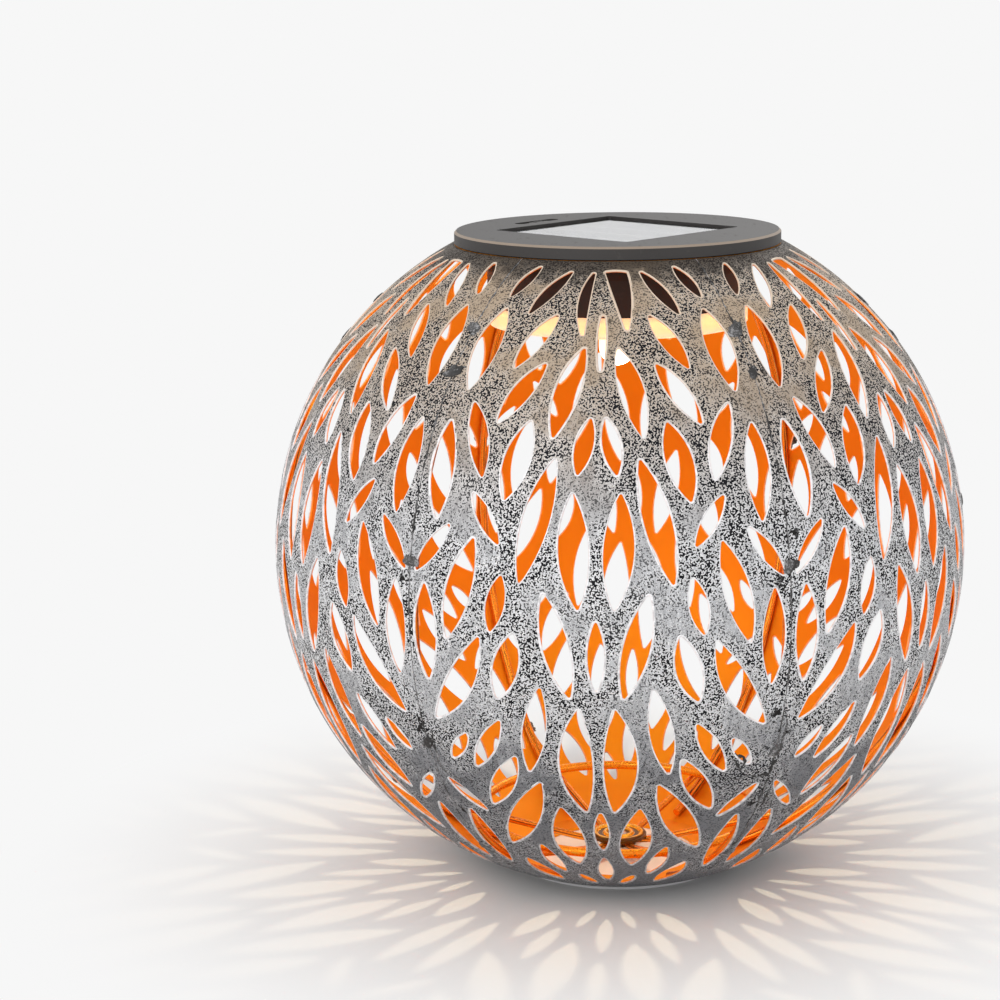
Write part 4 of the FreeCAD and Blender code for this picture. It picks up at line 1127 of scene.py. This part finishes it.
edgeNames = ["cutEdge_%d" % (number + 1) for number in range(globe["gores"])]
edges = copyAround(makeCutEdge(edgeNames[0], gores[0]), edgeNames, goreStep)
for edge in edges:
    edge.data.materials.append(edgeLook.material)
    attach(edge, "globe")
print("cut edges made,", len(edges[0].data.polygons), "faces each")

for number in range(globe["gores"]):
    bead = makeSeamBead("seamBead_%d" % (number + 1), number)
    bead.data.materials.append(solderLook.material)
    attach(bead, "globe")
print("seam beads made")

welds = makeWeldLumps("weldLumps")
welds.data.materials.append(solderLook.material)
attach(welds, "globe")
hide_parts("seam_welds")
print("weld lumps made")

runs = makeSolderRuns("solderRuns")
runs.data.materials.append(solderLook.material)
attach(runs, "globe")
print("solder runs made")

stage = {
    "size": 60.0,
    "below": 0.0002,        # the floor's depth under the foot
    "colour": (0.82, 0.815, 0.81),
    "soft": {"grain": (3, 3, 0.5), "colour": (0.78, 0.775, 0.77), "tint": 0.3},
    "far": (0.93, 0.93, 0.93),
    "nearest": 0.08,        # where the floor starts to fade into the backdrop
    "farthest": 0.28,
    "sky": 0.72,
    "skyColour": (1.0, 0.985, 0.97),
}


def makeFloor():
    bpy.ops.object.select_all(action="DESELECT")
    bpy.ops.mesh.primitive_plane_add(size=stage["size"], location=(0, 0, -stage["below"]))
    floor = bpy.context.object
    floor.name = "floor"
    finish = Finish("paleFloor", Roughness=0.85, Specular_IOR_Level=0.1)
    place = finish.place()
    soft = finish.grain(place, *stage["soft"]["grain"]) * stage["soft"]["tint"]
    finish.feed(Base_Color=finish.mix(soft, stage["colour"], stage["soft"]["colour"]))
    # far from the globe the camera sees an even, pale backdrop
    away = finish.length(place).rise(stage["nearest"], stage["farthest"])
    seen = finish.node("ShaderNodeLightPath", output="Is Camera Ray")
    backdrop = finish.node("ShaderNodeEmission", None, {"Color": (*stage["far"], 1)})
    body = Wire(finish, finish.shader.outputs[0])
    both = finish.node("ShaderNodeMixShader", None, {0: away * seen, 1: body, 2: backdrop})
    finish.show(both, "Material Output")
    floor.data.materials.append(finish.material)


def makeSky():
    # a soft light from all round, and the pale backdrop where it is looked at or mirrored
    world = bpy.data.worlds.new("studio")
    bpy.context.scene.world = world
    world.use_nodes = True
    sky = Graph(world.node_tree)
    light = sky.tree.nodes["Background"]
    light.inputs["Color"].default_value = (*stage["skyColour"], 1)
    light.inputs["Strength"].default_value = stage["sky"]
    backdrop = sky.node("ShaderNodeBackground", None, {"Color": (*stage["far"], 1), "Strength": 1.0})
    direct, mirrored, through = [
        sky.node("ShaderNodeLightPath", output="Is %s Ray" % kind)
        for kind in ("Camera", "Glossy", "Transmission")]
    seen = direct.larger(mirrored).larger(through)
    both = sky.node("ShaderNodeMixShader", None, {0: seen, 1: Wire(sky, light.outputs[0]), 2: backdrop})
    sky.show(both, "World Output")


# Each lamp: where it stands, its size, power and colour. All of them face the globe.
lamps = {
    "key": {"place": (-1.2, -1.8, 1.5), "size": 2.2, "power": 26, "colour": (1.0, 0.98, 0.96)},
    "fill": {"place": (1.8, -1.3, 0.9), "size": 1.6, "power": 5, "colour": (0.93, 0.96, 1.0)},
    "back": {"place": (0.7, 1.9, 1.6), "size": 1.2, "power": 8, "colour": (1.0, 0.98, 0.95)},
}
bulbLamp = {"below": 0.010, "radius": 0.008, "power": 0.7, "colour": (1.0, 0.86, 0.60)}


def makeLights():
    for name, lamp in lamps.items():
        light = bpy.data.lights.new(name, "AREA")
        light.shape = "DISK"
        light.size = lamp["size"]
        light.energy = lamp["power"]
        light.color = lamp["colour"]
        holder = addObject(name, light)
        holder.location = lamp["place"]
        holder.rotation_euler = (globeCentre - holder.location).to_track_quat("-Z", "Y").to_euler()
        holder.visible_camera = False
    # the bulb's own light, from just below its tip
    light = bpy.data.lights.new("bulbLight", "POINT")
    light.shadow_soft_size = bulbLamp["radius"]
    light.energy = bulbLamp["power"]
    light.color = bulbLamp["colour"]
    holder = addObject("bulbLight", light)
    holder.location = (0, 0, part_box("bulb_cover")[0].z - bulbLamp["below"])
    holder.visible_camera = False
    holder.visible_glossy = False
    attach(holder, "lamp_unit")


camera = {
    "elevation": 12.9,
    "distance": 1.1625,
    "lens": 95.1,
    "sensor": 36.0,
    "imageSide": 1000,
    "globeAt": (617.9, 542.1),      # pixel of the globe's centre, from the upper left
    "roll": 0.10,
    "nearest": 0.01,
    "farthest": 200,
}


def makeCamera():
    lens = bpy.data.cameras.new("camera")
    lens.lens = camera["lens"]
    lens.sensor_width = camera["sensor"]
    lens.clip_start = camera["nearest"]
    lens.clip_end = camera["farthest"]
    eye = addObject("camera", lens)
    tilt = math.radians(camera["elevation"])
    back = Vector((0, -math.cos(tilt), math.sin(tilt)))
    eye.location = globeCentre + back * camera["distance"]
    perPixel = camera["sensor"] / camera["imageSide"] / camera["lens"]
    half = camera["imageSide"] / 2
    column, row = camera["globeAt"]
    seen = Vector(((column - half) * perPixel, (half - row) * perPixel, -1)).normalized()
    aim = seen.rotation_difference(Vector((0, 0, -1)))
    roll = Quaternion((0, 0, 1), -math.radians(camera["roll"]))
    eye.rotation_mode = "QUATERNION"
    eye.rotation_quaternion = (back * -1).to_track_quat("-Z", "Y") @ roll @ aim
    bpy.context.scene.camera = eye


makeFloor()
makeSky()
makeLights()
makeCamera()
bpy.context.scene.view_settings.view_transform = "Standard"
print("stage, lights and camera made")
